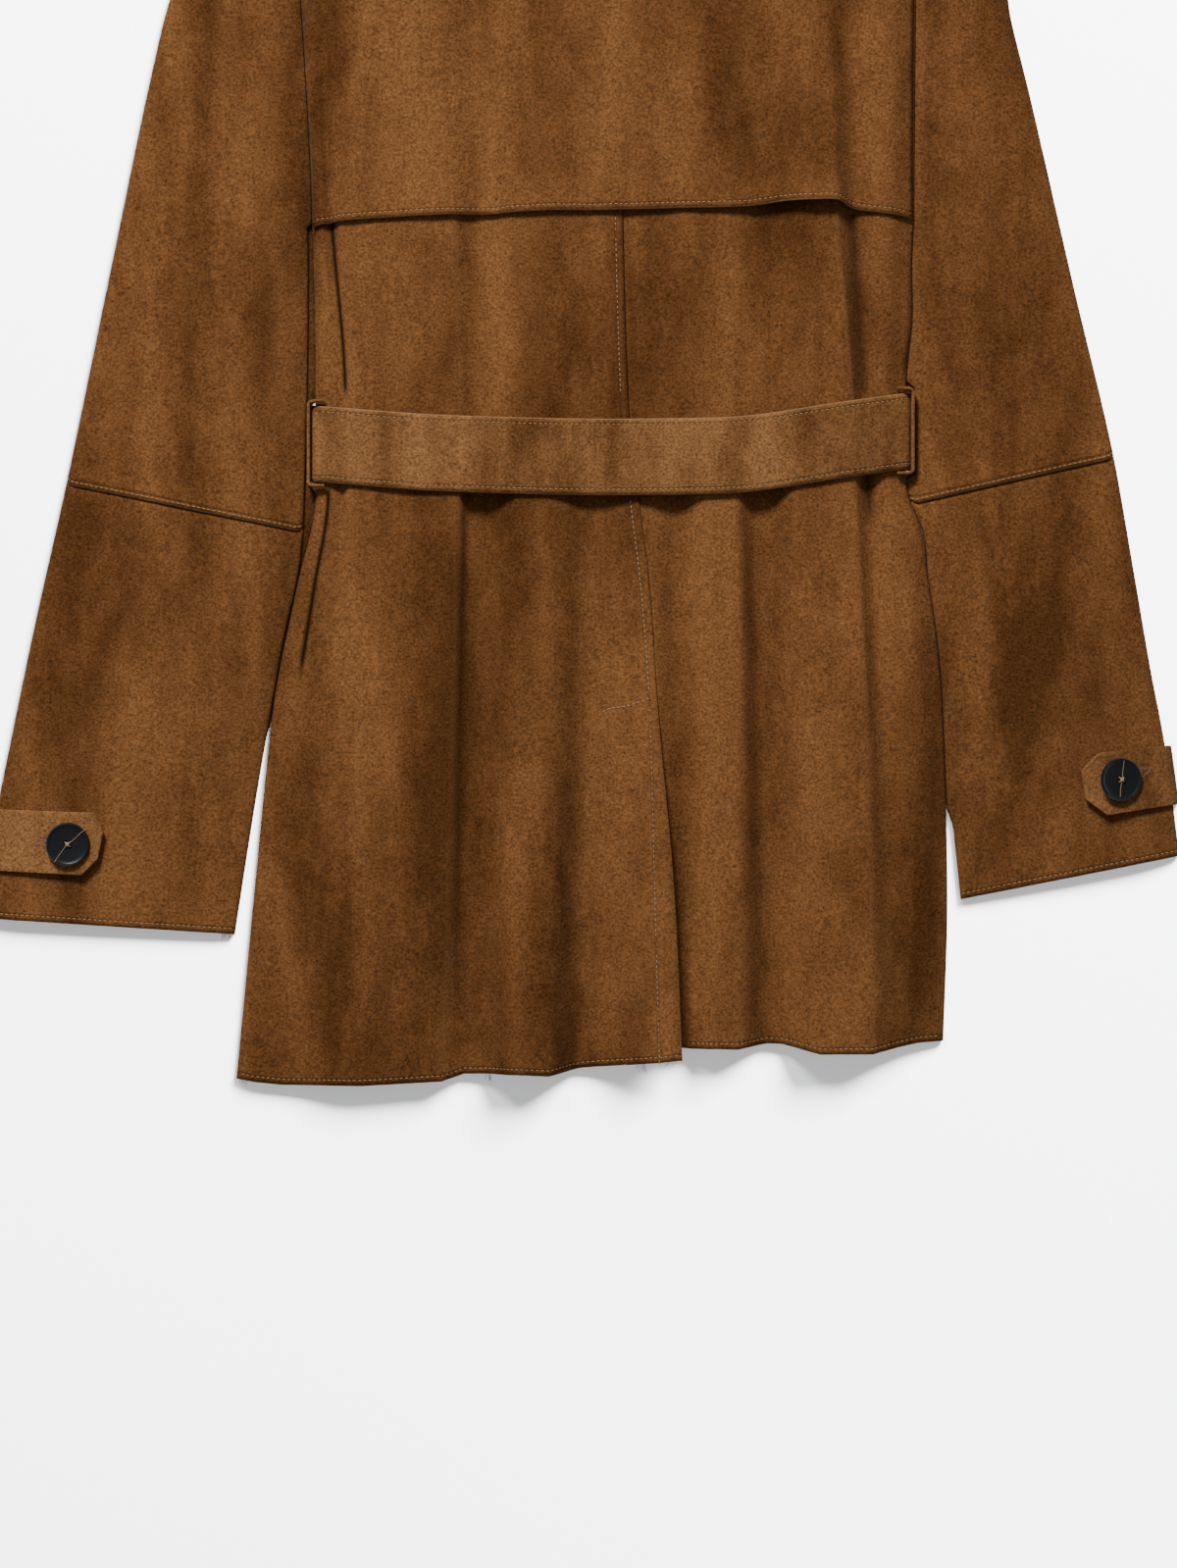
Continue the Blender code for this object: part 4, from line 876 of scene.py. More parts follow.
def crease_wear(folds, grid):
    """Where the crests are paler, as polished nap and a painted highlight: along the folds that stand
    proud.
    """
    mask = np.zeros(grid.shape[:2])
    for name, amount in WORN_AND_HIGHLIT_FOLDS.items():
        if name in [fold.name for fold in folds]:
            mask[:, fold_column(folds, name)] = amount
    return mask


def painted_fold_shade_mask(folds, grid):
    """Painted shade: 1 at the bottom of the folds that no light gets into, falling to 0 at their sides
    and ends.
    """
    mask = np.zeros(grid.shape[:2])
    for deep in SHADE_PAINTED_FOLDS:
        if deep.name in [fold.name for fold in folds]:
            line = grid[:, fold_column(folds, deep.name)]
            across = 1 - np.abs(grid[..., 0] - line[:, :1]) / deep.half
            y = grid[..., 1]
            along = smooth((deep.top - y) / DEEP_TOP_FADE) * smooth((y - deep.bottom) / deep.fade)
            mask = np.fmax(mask, deep.dark * np.clip(across, 0, 1) * along)
    return np.nan_to_num(mask)


LEVELS = levels_between(SHOULDER, HEM)
LEFT_GRID, RIGHT_GRID = back_grid(LEFT_BACK, LEVELS), back_grid(RIGHT_BACK, LEVELS)
print("back grids:", LEFT_GRID.shape, RIGHT_GRID.shape)

# %% Vent underlap
UNDERLAP_COLUMNS = 9


def underlap_columns(levels):
    """The right back's extension under the left one, from the slanted vent top down."""
    where = [-VENT, -SKIRT, -HEM]
    x = np.stack([read_curve(where, line.x, -levels) for line in UNDERLAP], axis=1)
    z = np.stack([read_curve(where, line.z, -levels) for line in UNDERLAP], axis=1)
    top = np.array([line.top for line in UNDERLAP], float)
    hem = np.array([line.hem for line in UNDERLAP], float)
    share = ((VENT - levels) / (VENT - SKIRT))[:, None]
    level = levels[:, None]
    y = np.where(level <= SKIRT, true_y(level, shoulder_y(x), hem), top + (SKIRT - top) * share)
    marks = np.arange(len(UNDERLAP))
    between = np.linspace(0.0, marks[-1], UNDERLAP_COLUMNS)
    columns = np.stack([on_curve(between, marks, row) for row in np.stack([x, y, z], axis=2)])
    columns[levels > VENT] = np.nan
    return columns


RIGHT_WITH_VENT = np.concatenate([underlap_columns(LEVELS), RIGHT_GRID], axis=1)
vent_pad = RIGHT_WITH_VENT.shape[1] - RIGHT_GRID.shape[1]
right_wear = np.pad(crease_wear(RIGHT_BACK, RIGHT_GRID), ((0, 0), (vent_pad, 0)))
right_pockets = np.pad(painted_fold_shade_mask(RIGHT_BACK, RIGHT_GRID), ((0, 0), (vent_pad, 0)))
SEAM_COLUMN = fold_column(LEFT_BACK, "stitch line")
beside_seam = LEFT_GRID[..., 0] - LEFT_GRID[:, SEAM_COLUMN, 0][:, None]
add_cloth("back_left_cloth", "back_left", LEFT_GRID, suede, rests_on=["front_left", "front_right"],
          edges=("bottom",), seam_offset=np.nan_to_num(beside_seam),
          wear=crease_wear(LEFT_BACK, LEFT_GRID), pocket=painted_fold_shade_mask(LEFT_BACK, LEFT_GRID))
add_cloth("back_right_cloth", "back_right", RIGHT_WITH_VENT, suede, rests_on=["front_right"],
          edges=("bottom",), wear=right_wear, pocket=right_pockets)

# %% [markdown]
# ## The storm flap
# This yoke hangs loose over the shoulders and ends in a raw edge that lifts a little and
# curls, most of all on the right, where it stands open like a lip. It is the back's own
# surface moved out, so it can't cut into the folds under it.

# %% Storm flap
FLAP_EDGE = ((-228, 157, 0.3), (-199, 163, 0.8), (-98, 169.5, 1.2), (21, 173, 1.5), (92, 174.5, 2.0),
             (126, 178, 7.0), (158, 178.5, 7.5), (171, 173.5, 1.5), (230, 166, 0.3))
FLAP_CURL, FLAP_REST, FLAP_ROWS = 45.0, 0.8, 64
FLAP_RIPPLE, FLAP_WAVER = 0.5, 0.5


def flap_grid():
    body = np.concatenate([LEFT_GRID[:, TURN_COLUMNS:], RIGHT_GRID[:, 1:-TURN_COLUMNS]], axis=1)
    at_edge = np.argmin(np.abs(LEVELS - FLAP_LEVEL))
    x_edge = body[at_edge, :, 0]
    xs, ys, lifts = (np.array(v, float) for v in zip(*FLAP_EDGE))
    low, lift = read_curve(xs, ys, x_edge), read_curve(xs, lifts, x_edge)
    low = low + FLAP_WAVER * np.sin(x_edge / 17.0) * np.sin(x_edge / 41.0)
    share = np.linspace(0.0, 1.0, FLAP_ROWS + 1)[:, None]
    level = SHOULDER + (low - SHOULDER) * share
    columns = [on_path(-level[:, c], -LEVELS, body[:, c]) for c in range(body.shape[1])]
    grid = np.stack(columns, axis=1)
    near = np.clip(1 - (level - low) / FLAP_CURL, 0, 1)
    ripple = FLAP_RIPPLE * (1 + np.sin(x_edge / 11.0)) * near ** 3
    away = WALL + FLAP_REST + lift * near * near + ripple
    raised = eased(grid + eased(normals_of(grid), 4) * away[..., None], 1)
    raised[..., 2] = np.maximum(raised[..., 2], eased(raised, 6)[..., 2])
    return raised


def eased(grid, times):
    """Each point moved to the mean of itself and its neighbours along its row."""
    for _ in range(times):
        grid = np.concatenate([grid[:, :1], (grid[:, :-2] + 2 * grid[:, 1:-1] + grid[:, 2:]) / 4,
                               grid[:, -1:]], axis=1)
    return grid


FLAP = flap_grid()
add_cloth("storm_flap_cloth", "storm_flap", FLAP, suede, edges=("bottom",),
          rests_on=["back_left_cloth", "back_right_cloth"])

# %% [markdown]
# ## The fronts
# They lie flat under the back, the left one over the right one, and show only from below.

# %% Fronts
LAP, LAP_RAMP, FRONT_COLUMN, FRONT_NECK_DIP = 80.0, 12.0, 150.0, 40.0
FRONT_HEM_INSET = 0.6
FRONT_HEM = ((-270, -443), (-150, -440), (0, -424), (80, -412), (240, -409))


def front_grid(sign):
    folds = LEFT_BACK if sign < 0 else RIGHT_BACK
    levels = levels_between(SHOULDER, HEM, 9.0)
    edge = side_x(folds, levels)
    inset = np.where(levels <= UNDERARM_Y, TURN[0][0] + SEAM, SEAM)
    inset = inset + FRONT_HEM_INSET * np.clip((SKIRT - levels) / (SKIRT - HEM), 0, None)
    stops = (FRONT_COLUMN, LAP, 0.0, -LAP)
    if sign < 0:
        stops = (-FRONT_COLUMN, -LAP - LAP_RAMP, -LAP, 0.0, LAP)
    inner = spread(stops, 12.0)
    x = np.concatenate([(edge - sign * inset)[:, None], np.tile(inner, (len(levels), 1))], axis=1)
    z = np.full(x.shape, WALL) + belt_lift(levels)[:, None]
    if sign < 0:
        z += (WALL + SEAM) * smooth((x + LAP + LAP_RAMP) / LAP_RAMP)
    neck = np.where(np.abs(x) < NECK_HALF, NECK_Y - FRONT_NECK_DIP, shoulder_y(x) - SEAM)
    hem = read_curve(*zip(*FRONT_HEM), x)
    grid = np.stack([x, true_y(levels[:, None], neck, hem), z], axis=2)
    return grid if sign < 0 else grid[:, ::-1]


add_cloth("front_left_cloth", "front_left", front_grid(-1), suede, rests_on=["front_right"],
          edges=("bottom", "right"))
add_cloth("front_right_cloth", "front_right", front_grid(1), suede, rests_on=["floor"],
          edges=("bottom", "left"))

# %% [markdown]
# ## The belt
# The belt is drawn taut, so it runs straight from ridge to ridge and leaves the valleys
# under it dark. Its path is the taut line over the folds, closed round the body's sides and
# along the floor. Two layers make it thick, and rows of stitches run near both edges.

# %% Belt path
BELT_CENTRE = ((-211, 7), (-108, -1), (0, -3.5), (77, -2.5), (168, 9), (212, 16))
BELT_GAP, BELT_LEAVES, BELT_FLOOR_INSET = 0.5, (3.6, 9.0), 40.0
BELT_TURN = ((0.9, 9.8), (2.7, 7.6), (2.95, 5.0), (2.9, 2.8), (1.5, 0.6), (-1.8, 0.0))
BELT_OUT = BELT_TURN[2][0]
BELT_STEP, BELT_ROWS, BELT_ZONE = 4.0, 15, (6.0, 40.0)
BELT_KERNEL = np.array((1, 2, 3, 2, 1)) / 9.0
BELT_DISH = 0.35                        # the belt sags this much along its middle


def belt_low_y(x):
    (x0, y0), (x1, y1) = BELT_CENTRE[0], BELT_CENTRE[-1]
    return y0 + (y1 - y0) * (x - x0) / (x1 - x0)


def taut_line(points):
    """The upper hull of points in x and z."""
    hull = []
    for x, z in sorted(points):
        while len(hull) > 1:
            (x1, z1), (x2, z2) = hull[-2], hull[-1]
            if (x2 - x1) * (z - z1) - (z2 - z1) * (x - x1) < 0:
                break
            hull.pop()
        hull.append((x, z))
    return hull


def belt_path():
    near = np.abs(LEVELS - BELT_ZONE[0]) < BELT_ZONE[1]
    body = np.concatenate([LEFT_GRID[near, TURN_COLUMNS + 1:].reshape(-1, 3),
                           RIGHT_GRID[near, :-TURN_COLUMNS - 1].reshape(-1, 3)])
    left, right = -side_at_waist(LEFT_BACK), side_at_waist(RIGHT_BACK)
    inset, height = BELT_LEAVES
    carried = [(x, z) for x, z in taut_line([(p[0], p[2]) for p in body]) if left + 5 < x < right - 5]
    top = [(left + inset, height)] + carried + [(right - inset, height)]
    xs = spread([p[0] for p in top], BELT_STEP)
    zs = np.interp(xs, [p[0] for p in top], [p[1] for p in top])
    rounded = np.convolve(np.pad(zs, 2, mode="edge"), BELT_KERNEL, mode="valid")
    zs = np.maximum(zs, rounded) + BELT_GAP + DOUBLE
    turn = np.array(BELT_TURN)
    steps = np.linspace(0, len(turn) - 1, 16)
    reach, rise = on_curve(steps, range(len(turn)), turn).T
    floor = np.linspace(right - BELT_FLOOR_INSET, left + BELT_FLOOR_INSET, 12)
    x = np.concatenate([xs, right + reach, floor, left - reach[::-1]])
    z = np.concatenate([zs, rise, 0 * floor, rise[::-1]])
    return x, z


def belt_grid():
    x, z = belt_path()
    share = np.linspace(1.0, -1.0, BELT_ROWS)[:, None]
    centre = np.where(z < 3.0, belt_low_y(x), read_curve(*zip(*BELT_CENTRE), x))
    dish = BELT_DISH * (1 - share ** 2) * smooth((z - 11.0) / 4.0)
    wave = 0.35 * np.sin(x / 23.0 + 1.3 * share) * smooth((z - 12.0) / 4.0) * share ** 2
    y = centre + share * BELT_HALF + 0 * x
    return np.stack([x + 0 * share, y, z - dish * 0.4 + np.maximum(wave, -0.1)], axis=2)


BELT = belt_grid()
add_cloth("belt_cloth", "belt", BELT, light_suede, DOUBLE, ring=True,
          rests_on=["back_left_cloth", "back_right_cloth"], edges=("top", "bottom"))

# %% Belt loops
LOOP_SLACK, LOOP_FLAT, LOOP_TOP, LOOP_WALL = 1.8, 7.0, 14.2, 2.2


def loop_grid(sign):
    """A carrier seen edge on: a band round the belt that stands up from the floor."""
    edge = side_at_waist(LEFT_BACK if sign < 0 else RIGHT_BACK)
    outer = edge + BELT_OUT + REST + LOOP_WALL
    middle = belt_low_y(sign * edge)
    reach = BELT_HALF + LOOP_SLACK + LOOP_WALL
    half = ((edge - LOOP_FLAT, reach + 0.2, 11.6, LOOP_TOP),
            (edge - 2.5, reach + 0.2, 10.6, LOOP_TOP),
            (edge + 1.2, reach, 9.0, LOOP_TOP - 0.2),
            (outer - 1.2, reach - 1.2, 3.0, LOOP_TOP - 0.6),
            (outer, reach - 3.4, 2.6, LOOP_TOP - 0.8))
    profile = np.array(half + ((outer, 0.0, 2.6, LOOP_TOP - 1.0),)
                       + tuple((x, -y, low, high) for x, y, low, high in half[::-1]))
    where = np.linspace(0, len(profile) - 1, 71)
    x, y, low, high = on_curve(where, range(len(profile)), profile).T
    share = np.linspace(0.0, 1.0, 6)[:, None]
    grid = np.stack([sign * x + 0 * share, middle + y + 0 * share, high + (low - high) * share], axis=2)
    return grid if sign < 0 else grid[::-1]


for side, sign in (("left", -1), ("right", 1)):
    add_cloth(f"belt_loop_{side}_cloth", f"belt_loop_{side}", loop_grid(sign), light_suede, LOOP_WALL,
              rests_on=[f"back_{side}_cloth"])

# %% [markdown]
# ## Sleeves
# Each sleeve is cut in three: a top sleeve above the elbow, one below it, and an under sleeve
# that lies flat on the floor. Sections across the arm give the outer and inner edges and
# three fold lines between them. At the elbow the upper piece laps over the lower one with a
# raw edge, so its last rows are lifted by the cloth's own thickness. The under sleeve is the
# wider half and reaches the body's side, so no floor shows between the arm and the body.

# %% Sleeve sections
Section = namedtuple("Section", "name outer inner crown valley swell")
LEFT_SLEEVE = (
    Section("shoulder", (-296, 348), (-227, 376), (0.35, 5.4), (0.60, 5.4), (0.80, 5.2)),
    Section("cap", (-305, 339), (-224, 354), (0.30, 8.0), (0.60, 7.0), (0.82, 7.0)),
    Section("cap foot", (-310.5, 330), (-221, 332), (0.30, 9.0), (0.55, 7.0), (0.80, 8.0)),
    Section("chest", (-316, 312), (-218.9, 297), (0.30, 9.5), (0.52, 7.0), (0.78, 8.5)),
    Section("upper arm", (-329, 255), (-215.6, 234), (0.28, 9.5), (0.48, 6.5), (0.74, 9.0)),
    Section("above elbow", (-357, 120), (-213.8, 115), (0.28, 9.5), (0.53, 6.0), (0.76, 9.0)),
    Section("elbow", (-386, -20), (-217.6, -54), (0.30, 9.5), (0.64, 5.8), (0.82, 8.5)),
    Section("forearm", (-409, -123), (-233.4, -143), (0.34, 9.0), (0.72, 5.6), (0.87, 7.6)),
    Section("above cuff", (-434, -244), (-251.8, -251), (0.36, 8.6), (0.76, 6.2), (0.90, 6.6)),
    Section("cuff", (-452, -330), (-266, -342), (0.40, 9.0), (0.70, 8.0), (0.88, 7.0)),
)
RIGHT_SLEEVE = (
    Section("shoulder", (273, 355), (227, 376), (0.35, 5.4), (0.60, 5.4), (0.80, 5.2)),
    Section("cap", (280, 345), (224, 354), (0.30, 7.5), (0.60, 6.0), (0.82, 6.0)),
    Section("cap foot", (284, 334), (221, 332), (0.28, 9.0), (0.60, 5.6), (0.82, 6.5)),
    Section("chest", (286.5, 315), (219.9, 297), (0.28, 9.5), (0.62, 5.4), (0.84, 6.5)),
    Section("upper arm", (301, 255), (218.9, 234), (0.30, 9.5), (0.72, 5.6), (0.88, 6.2)),
    Section("above elbow", (332, 120), (218.0, 115), (0.32, 9.5), (0.80, 6.2), (0.92, 6.2)),
    Section("elbow", (360.5, -1.4), (219.0, -34), (0.34, 9.5), (0.80, 7.0), (0.93, 6.4)),
    Section("forearm", (374.5, -81), (231.0, -100), (0.34, 9.2), (0.78, 7.0), (0.92, 6.4)),
    Section("lower arm", (387, -154), (239.4, -176), (0.34, 9.0), (0.76, 6.6), (0.90, 6.6)),
    Section("above cuff", (397, -207), (242.0, -225), (0.34, 9.0), (0.74, 6.6), (0.90, 6.6)),
    Section("cuff", (407.4, -286), (251.3, -317), (0.36, 9.2), (0.70, 8.0), (0.88, 7.0)),
)
SLEEVE_EDGE, SLEEVE_EDGE_SLOPE, SLEEVE_STEP, SLEEVE_FADE = SIDE_TOP, 45.0, 4.2, 14.0
SLEEVE_COLUMNS = (14, 13, 10, 10)
SLEEVE_CREASES = (
    Crease("left arm band", (-300, 230), (-318, 120), 9, 0.9, 6),
    Crease("left arm trough", (-262, 250), (-262, 40), 7, -0.7, -6),
    Crease("left arm inner band", (-236, 200), (-232, 20), 6, 0.9, 3),
    Crease("left elbow dent", (-340, 40), (-262, 20), 9, -0.7, 5),
    Crease("left forearm band", (-318, -90), (-336, -250), 12, 0.9, 5),
    Crease("left forearm line", (-262, -70), (-276, -210), 5, 0.8, -3),
    Crease("left forearm trough", (-274, -60), (-292, -230), 5, -0.6, -3),
    Crease("left cuff dent", (-306, -240), (-286, -310), 9, -0.7, 4),
    Crease("right arm band", (262, 240), (282, 90), 9, 0.8, -5),
    Crease("right arm slant", (232, 150), (300, 40), 5, 0.7, 4),
    Crease("right arm trough", (240, 120), (300, 20), 6, -0.6, 4),
    Crease("right elbow dent", (262, 20), (330, 40), 9, -0.6, -5),
    Crease("right forearm band", (300, -60), (322, -200), 11, 0.9, -5),
    Crease("right forearm trough", (262, -80), (274, -240), 7, -0.6, 4),
    Crease("right cuff dent", (300, -220), (290, -290), 9, -0.7, -4),
)
print("sections:", len(LEFT_SLEEVE), "left,", len(RIGHT_SLEEVE), "right")


# %% Rows across a sleeve
def read_sections(sections, pick, where):
    return read_curve(range(len(sections)), [pick(s) for s in sections], where)


def armhole_end(sections):
    return float(np.interp(-UNDERARM_Y, [-s.inner[1] for s in sections], range(len(sections))))


def armhole_x(folds, y):
    """The body's edge at true height y, at or above the underarm."""
    tip = NECK_Y - TIP_DROP
    level = np.where(y > CHEST, CHEST + (y - CHEST) * (SHOULDER - CHEST) / (tip - CHEST), y)
    return side_x(folds, level)


LEFT_PART, RIGHT_PART = -205.0, -266.0  # below these the sleeve and the body part
PART_RAMP, UNDER_CLEAR, TUCK_CLEAR = 22.0, 0.35, 0.5
LOOP_ROOM, BELT_ROOM, UNDER_COLUMNS = 7.0, 3.5, 13


def sleeve_edges(sections, where):
    outer, inner = (np.stack([read_sections(sections, lambda s: getattr(s, edge)[k], where)
                              for k in (0, 1)], axis=1) for edge in ("outer", "inner"))
    folds = LEFT_BACK if sections is LEFT_SLEEVE else RIGHT_BACK
    in_hole = where < armhole_end(sections)
    inner[in_hole, 0] = armhole_x(folds, inner[in_hole, 1]) + side_of(folds) * SEAM
    if sections is RIGHT_SLEEVE:
        y = inner[:, 1]
        clear_of_loop = np.abs(y - belt_low_y(TIP_HALF)) > BELT_HALF + LOOP_ROOM
        share = np.where(in_hole, 0.0, clear_of_loop * smooth((y - RIGHT_PART) / PART_RAMP))
        inner[:, 0] += share * (armhole_x(folds, y) + TUCK_CLEAR - inner[:, 0])
    return outer, inner, in_hole


def sleeve_grid(sections, where):
    """Rows from the outer to the inner edge; returned with x rising."""
    outer, inner, in_hole = sleeve_edges(sections, where)
    width = np.linalg.norm(inner - outer, axis=1)
    step = (inner - outer) / width[:, None]
    shares, heights = [TURN_TOP / width], [np.full(len(where), SLEEVE_EDGE)]
    for pick in (lambda s: s.crown, lambda s: s.valley, lambda s: s.swell):
        shares.append(read_sections(sections, lambda s: pick(s)[0], where))
        heights.append(read_sections(sections, lambda s: pick(s)[1], where))
    shares.append(1 - TURN_TOP / width)
    heights.append(np.full(len(where), SLEEVE_EDGE))
    share, height = np.stack(shares, axis=1), np.stack(heights, axis=1)
    slopes = row_slopes(share, height)
    slopes[:, 0], slopes[:, -1] = SLEEVE_EDGE_SLOPE, -SLEEVE_EDGE_SLOPE
    i = np.concatenate([np.full(n, k) for k, n in enumerate(SLEEVE_COLUMNS)] + [[3]])
    t = np.concatenate([np.arange(n) / n for n in SLEEVE_COLUMNS] + [[1.0]])
    span = share[:, i + 1] - share[:, i]
    s = share[:, i] + t * span
    z = hermite(t, span, height[:, i], height[:, i + 1], slopes[:, i], slopes[:, i + 1])
    flat = outer[:, None, :] + (step * width[:, None])[:, None, :] * s[..., None]
    reach = np.minimum(s, 1 - s) * width[:, None]
    fade = smooth(reach / SLEEVE_FADE - 0.3)
    z = z + relief(SLEEVE_CREASES, flat[..., 0], flat[..., 1]) * fade
    top = np.concatenate([flat, z[..., None]], axis=2)
    inset, rise = turn_points(SLEEVE_EDGE)
    turns = []
    on_under = WALL + SEAM + rise * (SLEEVE_EDGE - WALL - SEAM) / SLEEVE_EDGE
    for edge, sign, height in ((outer, 1, rise), (inner, -1, on_under)):
        turn = np.empty((len(where), TURN_COLUMNS, 3))
        turn[..., :2] = edge[:, None, :] + sign * step[:, None, :] * inset[None, :, None]
        turn[..., 2] = height
        turns.append(turn)
    open_edge = ARMHOLE_Z - SEAM
    turns[1][in_hole, :, 2] = open_edge + (SLEEVE_EDGE - open_edge) * inset / TURN_TOP
    turns[1][np.outer(in_hole, rise < ARMHOLE_CUT)] = np.nan
    grid = np.concatenate([turns[0], top, turns[1][:, ::-1]], axis=1)
    return grid if sections is LEFT_SLEEVE else grid[:, ::-1]


def sleeve_places(sections, first, last):
    """Places along the sleeve, counted in sections, a few millimetres apart."""
    end = armhole_end(sections)
    stops = [first] + [k for k in range(first + 1, last)] + [last]
    if first < end < last:
        stops = sorted(stops + [end - 0.01, end + 0.01])
    places = []
    for a, b in zip(stops, stops[1:]):
        ends = read_sections(sections, lambda s: s.inner[1], np.array([a, b], float))
        count = max(1, round(abs(ends[1] - ends[0]) / SLEEVE_STEP))
        places += [a + (b - a) * k / count for k in range(count)]
    return np.array(places + [last], float)


def elbow_index(sections):
    return [s.name for s in sections].index("elbow")


print("armholes end at", round(armhole_end(LEFT_SLEEVE), 2), round(armhole_end(RIGHT_SLEEVE), 2))

# %% The lapped elbow seam
ELBOW_LAP, ELBOW_LIFT, ELBOW_RAMP = 1.8, 1.35, 16.0
ELBOW_GAP = 0.00136                     # counted in sections
LAP_LEVEL, LAP_SOFTNESS = 4.5, 1.5


def lap_over(grid):
    """Lift the lower edge of the upper sleeve and lengthen it over the piece below."""
    along = grid[-1] - grid[-2]
    away = np.linalg.norm(grid - grid[-1], axis=2)
    near = smooth(1 - np.nan_to_num(away, nan=ELBOW_RAMP) / ELBOW_RAMP)
    on_top = smooth((np.nan_to_num(grid[..., 2]) - LAP_LEVEL) / LAP_SOFTNESS)
    direction = along / np.maximum(np.linalg.norm(along, axis=1, keepdims=True), 1e-9)
    lapped = grid.copy()
    lapped[..., 2] += ELBOW_LIFT * near * on_top
    lapped[..., :2] += (direction[None, :, :2] * ELBOW_LAP) * (near ** 4 * on_top)[..., None]
    return lapped


def top_sleeves(sections):
    elbow, last = elbow_index(sections), len(sections) - 1
    upper = sleeve_places(sections, 0, elbow)
    lower = sleeve_places(sections, elbow, last)
    upper[-1] -= ELBOW_GAP
    lower[0] += ELBOW_GAP
    return lap_over(sleeve_grid(sections, upper)), sleeve_grid(sections, lower)


def under_sleeve(sections):
    """The wider half: it reaches the body's side, and lower down ends at its own inner edge."""
    left = sections is LEFT_SLEEVE
    folds = LEFT_BACK if left else RIGHT_BACK
    where = sleeve_places(sections, 0, len(sections) - 1)
    outer, inner, in_hole = sleeve_edges(sections, where)
    step = (inner - outer) / np.linalg.norm(inner - outer, axis=1, keepdims=True)
    near = outer + step * (TURN[0][0] + SEAM)
    body = np.abs(armhole_x(folds, inner[:, 1])) + UNDER_CLEAR
    past_belt = side_at_waist(folds) + BELT_OUT + UNDER_CLEAR
    by_belt = np.abs(inner[:, 1] - belt_low_y(inner[:, 0])) < BELT_HALF + BELT_ROOM
    body = np.where(by_belt, np.maximum(body, past_belt), body)
    wide = inner + step * (np.maximum(0.0, np.abs(inner[:, 0]) - body) / np.abs(step[:, 0]))[:, None]
    own = inner - step * 0.3
    share = smooth((inner[:, 1] - (LEFT_PART if left else RIGHT_PART)) / PART_RAMP)[:, None]
    far = np.where(in_hole[:, None], inner - step * SEAM, own + (wide - own) * share)
    share = np.linspace(0.0, 1.0, UNDER_COLUMNS)[None, :, None]
    flat = near[:, None, :] + (far - near)[:, None, :] * share
    grid = np.concatenate([flat, np.full(flat.shape[:2] + (1,), WALL)], axis=2)
    return grid if sections is LEFT_SLEEVE else grid[:, ::-1]


SLEEVES = {}
for side, sections in (("left", LEFT_SLEEVE), ("right", RIGHT_SLEEVE)):
    upper, lower = top_sleeves(sections)
    SLEEVES[side] = (upper, lower)
    add_cloth(f"sleeve_{side}_upper_cloth", f"sleeve_{side}_top_upper", upper, suede,
              rests_on=[f"sleeve_{side}_under"], edges=("bottom",))
    add_cloth(f"sleeve_{side}_lower_cloth", f"sleeve_{side}_top_lower", lower, suede,
              rests_on=[f"sleeve_{side}_under"], edges=("bottom",))
    add_cloth(f"sleeve_{side}_under_cloth", f"sleeve_{side}_under", under_sleeve(sections), suede,
              rests_on=["floor"], edges=("bottom",))


# %% [markdown]
# ## Cuff tabs
# Each strap comes round from the under side of the cuff and is buttoned down. It lies on the
# sleeve's own points, moved out by its thickness, and its chamfered end stands off the cloth.

# %% Cuff tabs
Tab = namedtuple("Tab", "low high reach chamfer button_at tilt seat")
TABS = {"left": Tab(36, 80, 79, 9, 56, 4, 2.05), "right": Tab(35, 79, 62, 14, 36, 14, 2.5)}
TAB_LIFT, TAB_REST, TAB_ROOT = 3.2, 0.1, 1.2
TAB_WRAP = ((0.5, 0.8), (0.6, 3.4))
TAB_CORNER, TAB_OUT = 0.28, 2 * REST + DOUBLE
TAB_ROWS, TAB_COLUMNS = 19, 46
TAB_POINTS, TAB_CROWDING = 25, 1.5      # more points near the sleeve's edge, where it bends


def sections_of(side):
    return LEFT_SLEEVE if side == "left" else RIGHT_SLEEVE


def place_above_cuff(sections, up):
    """The place along the sleeve that lies this far up from the cuff."""
    rise = np.subtract(sections[-1].outer, sections[-2].outer)
    return len(sections) - 1 - np.asarray(up, float) / np.linalg.norm(rise)


def on_sleeve(sections, where, reach):
    """Points of the sleeve's outer side, reach in from its outer edge at each place."""
    rows = sleeve_grid(sections, where)
    rows = rows if sections is LEFT_SLEEVE else rows[:, ::-1]
    outermost = int(np.argmin(turn_points(SLEEVE_EDGE)[0]))
    points = []
    for row, share in zip(rows[:, outermost:], reach):
        row = row[~np.isnan(row[:, 0])]
        points.append(on_path(share, np.linalg.norm(row[:, :2] - row[0, :2], axis=1), row))
    return np.array(points)


NEAR, NEAR_SECTIONS = 2.0, 0.03


def sleeve_frame(sections, up, reach):
    """Points on the sleeve and the outward normals there."""
    where, reach = place_above_cuff(sections, up), np.asarray(reach, float)
    nearer = np.maximum(reach - NEAR, 0)
    across = on_sleeve(sections, where, reach + NEAR) - on_sleeve(sections, where, nearer)
    along = (on_sleeve(sections, where - NEAR_SECTIONS, reach)
             - on_sleeve(sections, where + NEAR_SECTIONS, reach))
    normal = np.cross(across, along)
    normal *= np.sign(normal[:, 2:]) / np.linalg.norm(normal, axis=1, keepdims=True)
    return on_sleeve(sections, where, reach), normal


def tab_middle(tab):
    return 0.5 * (tab.low + tab.high)


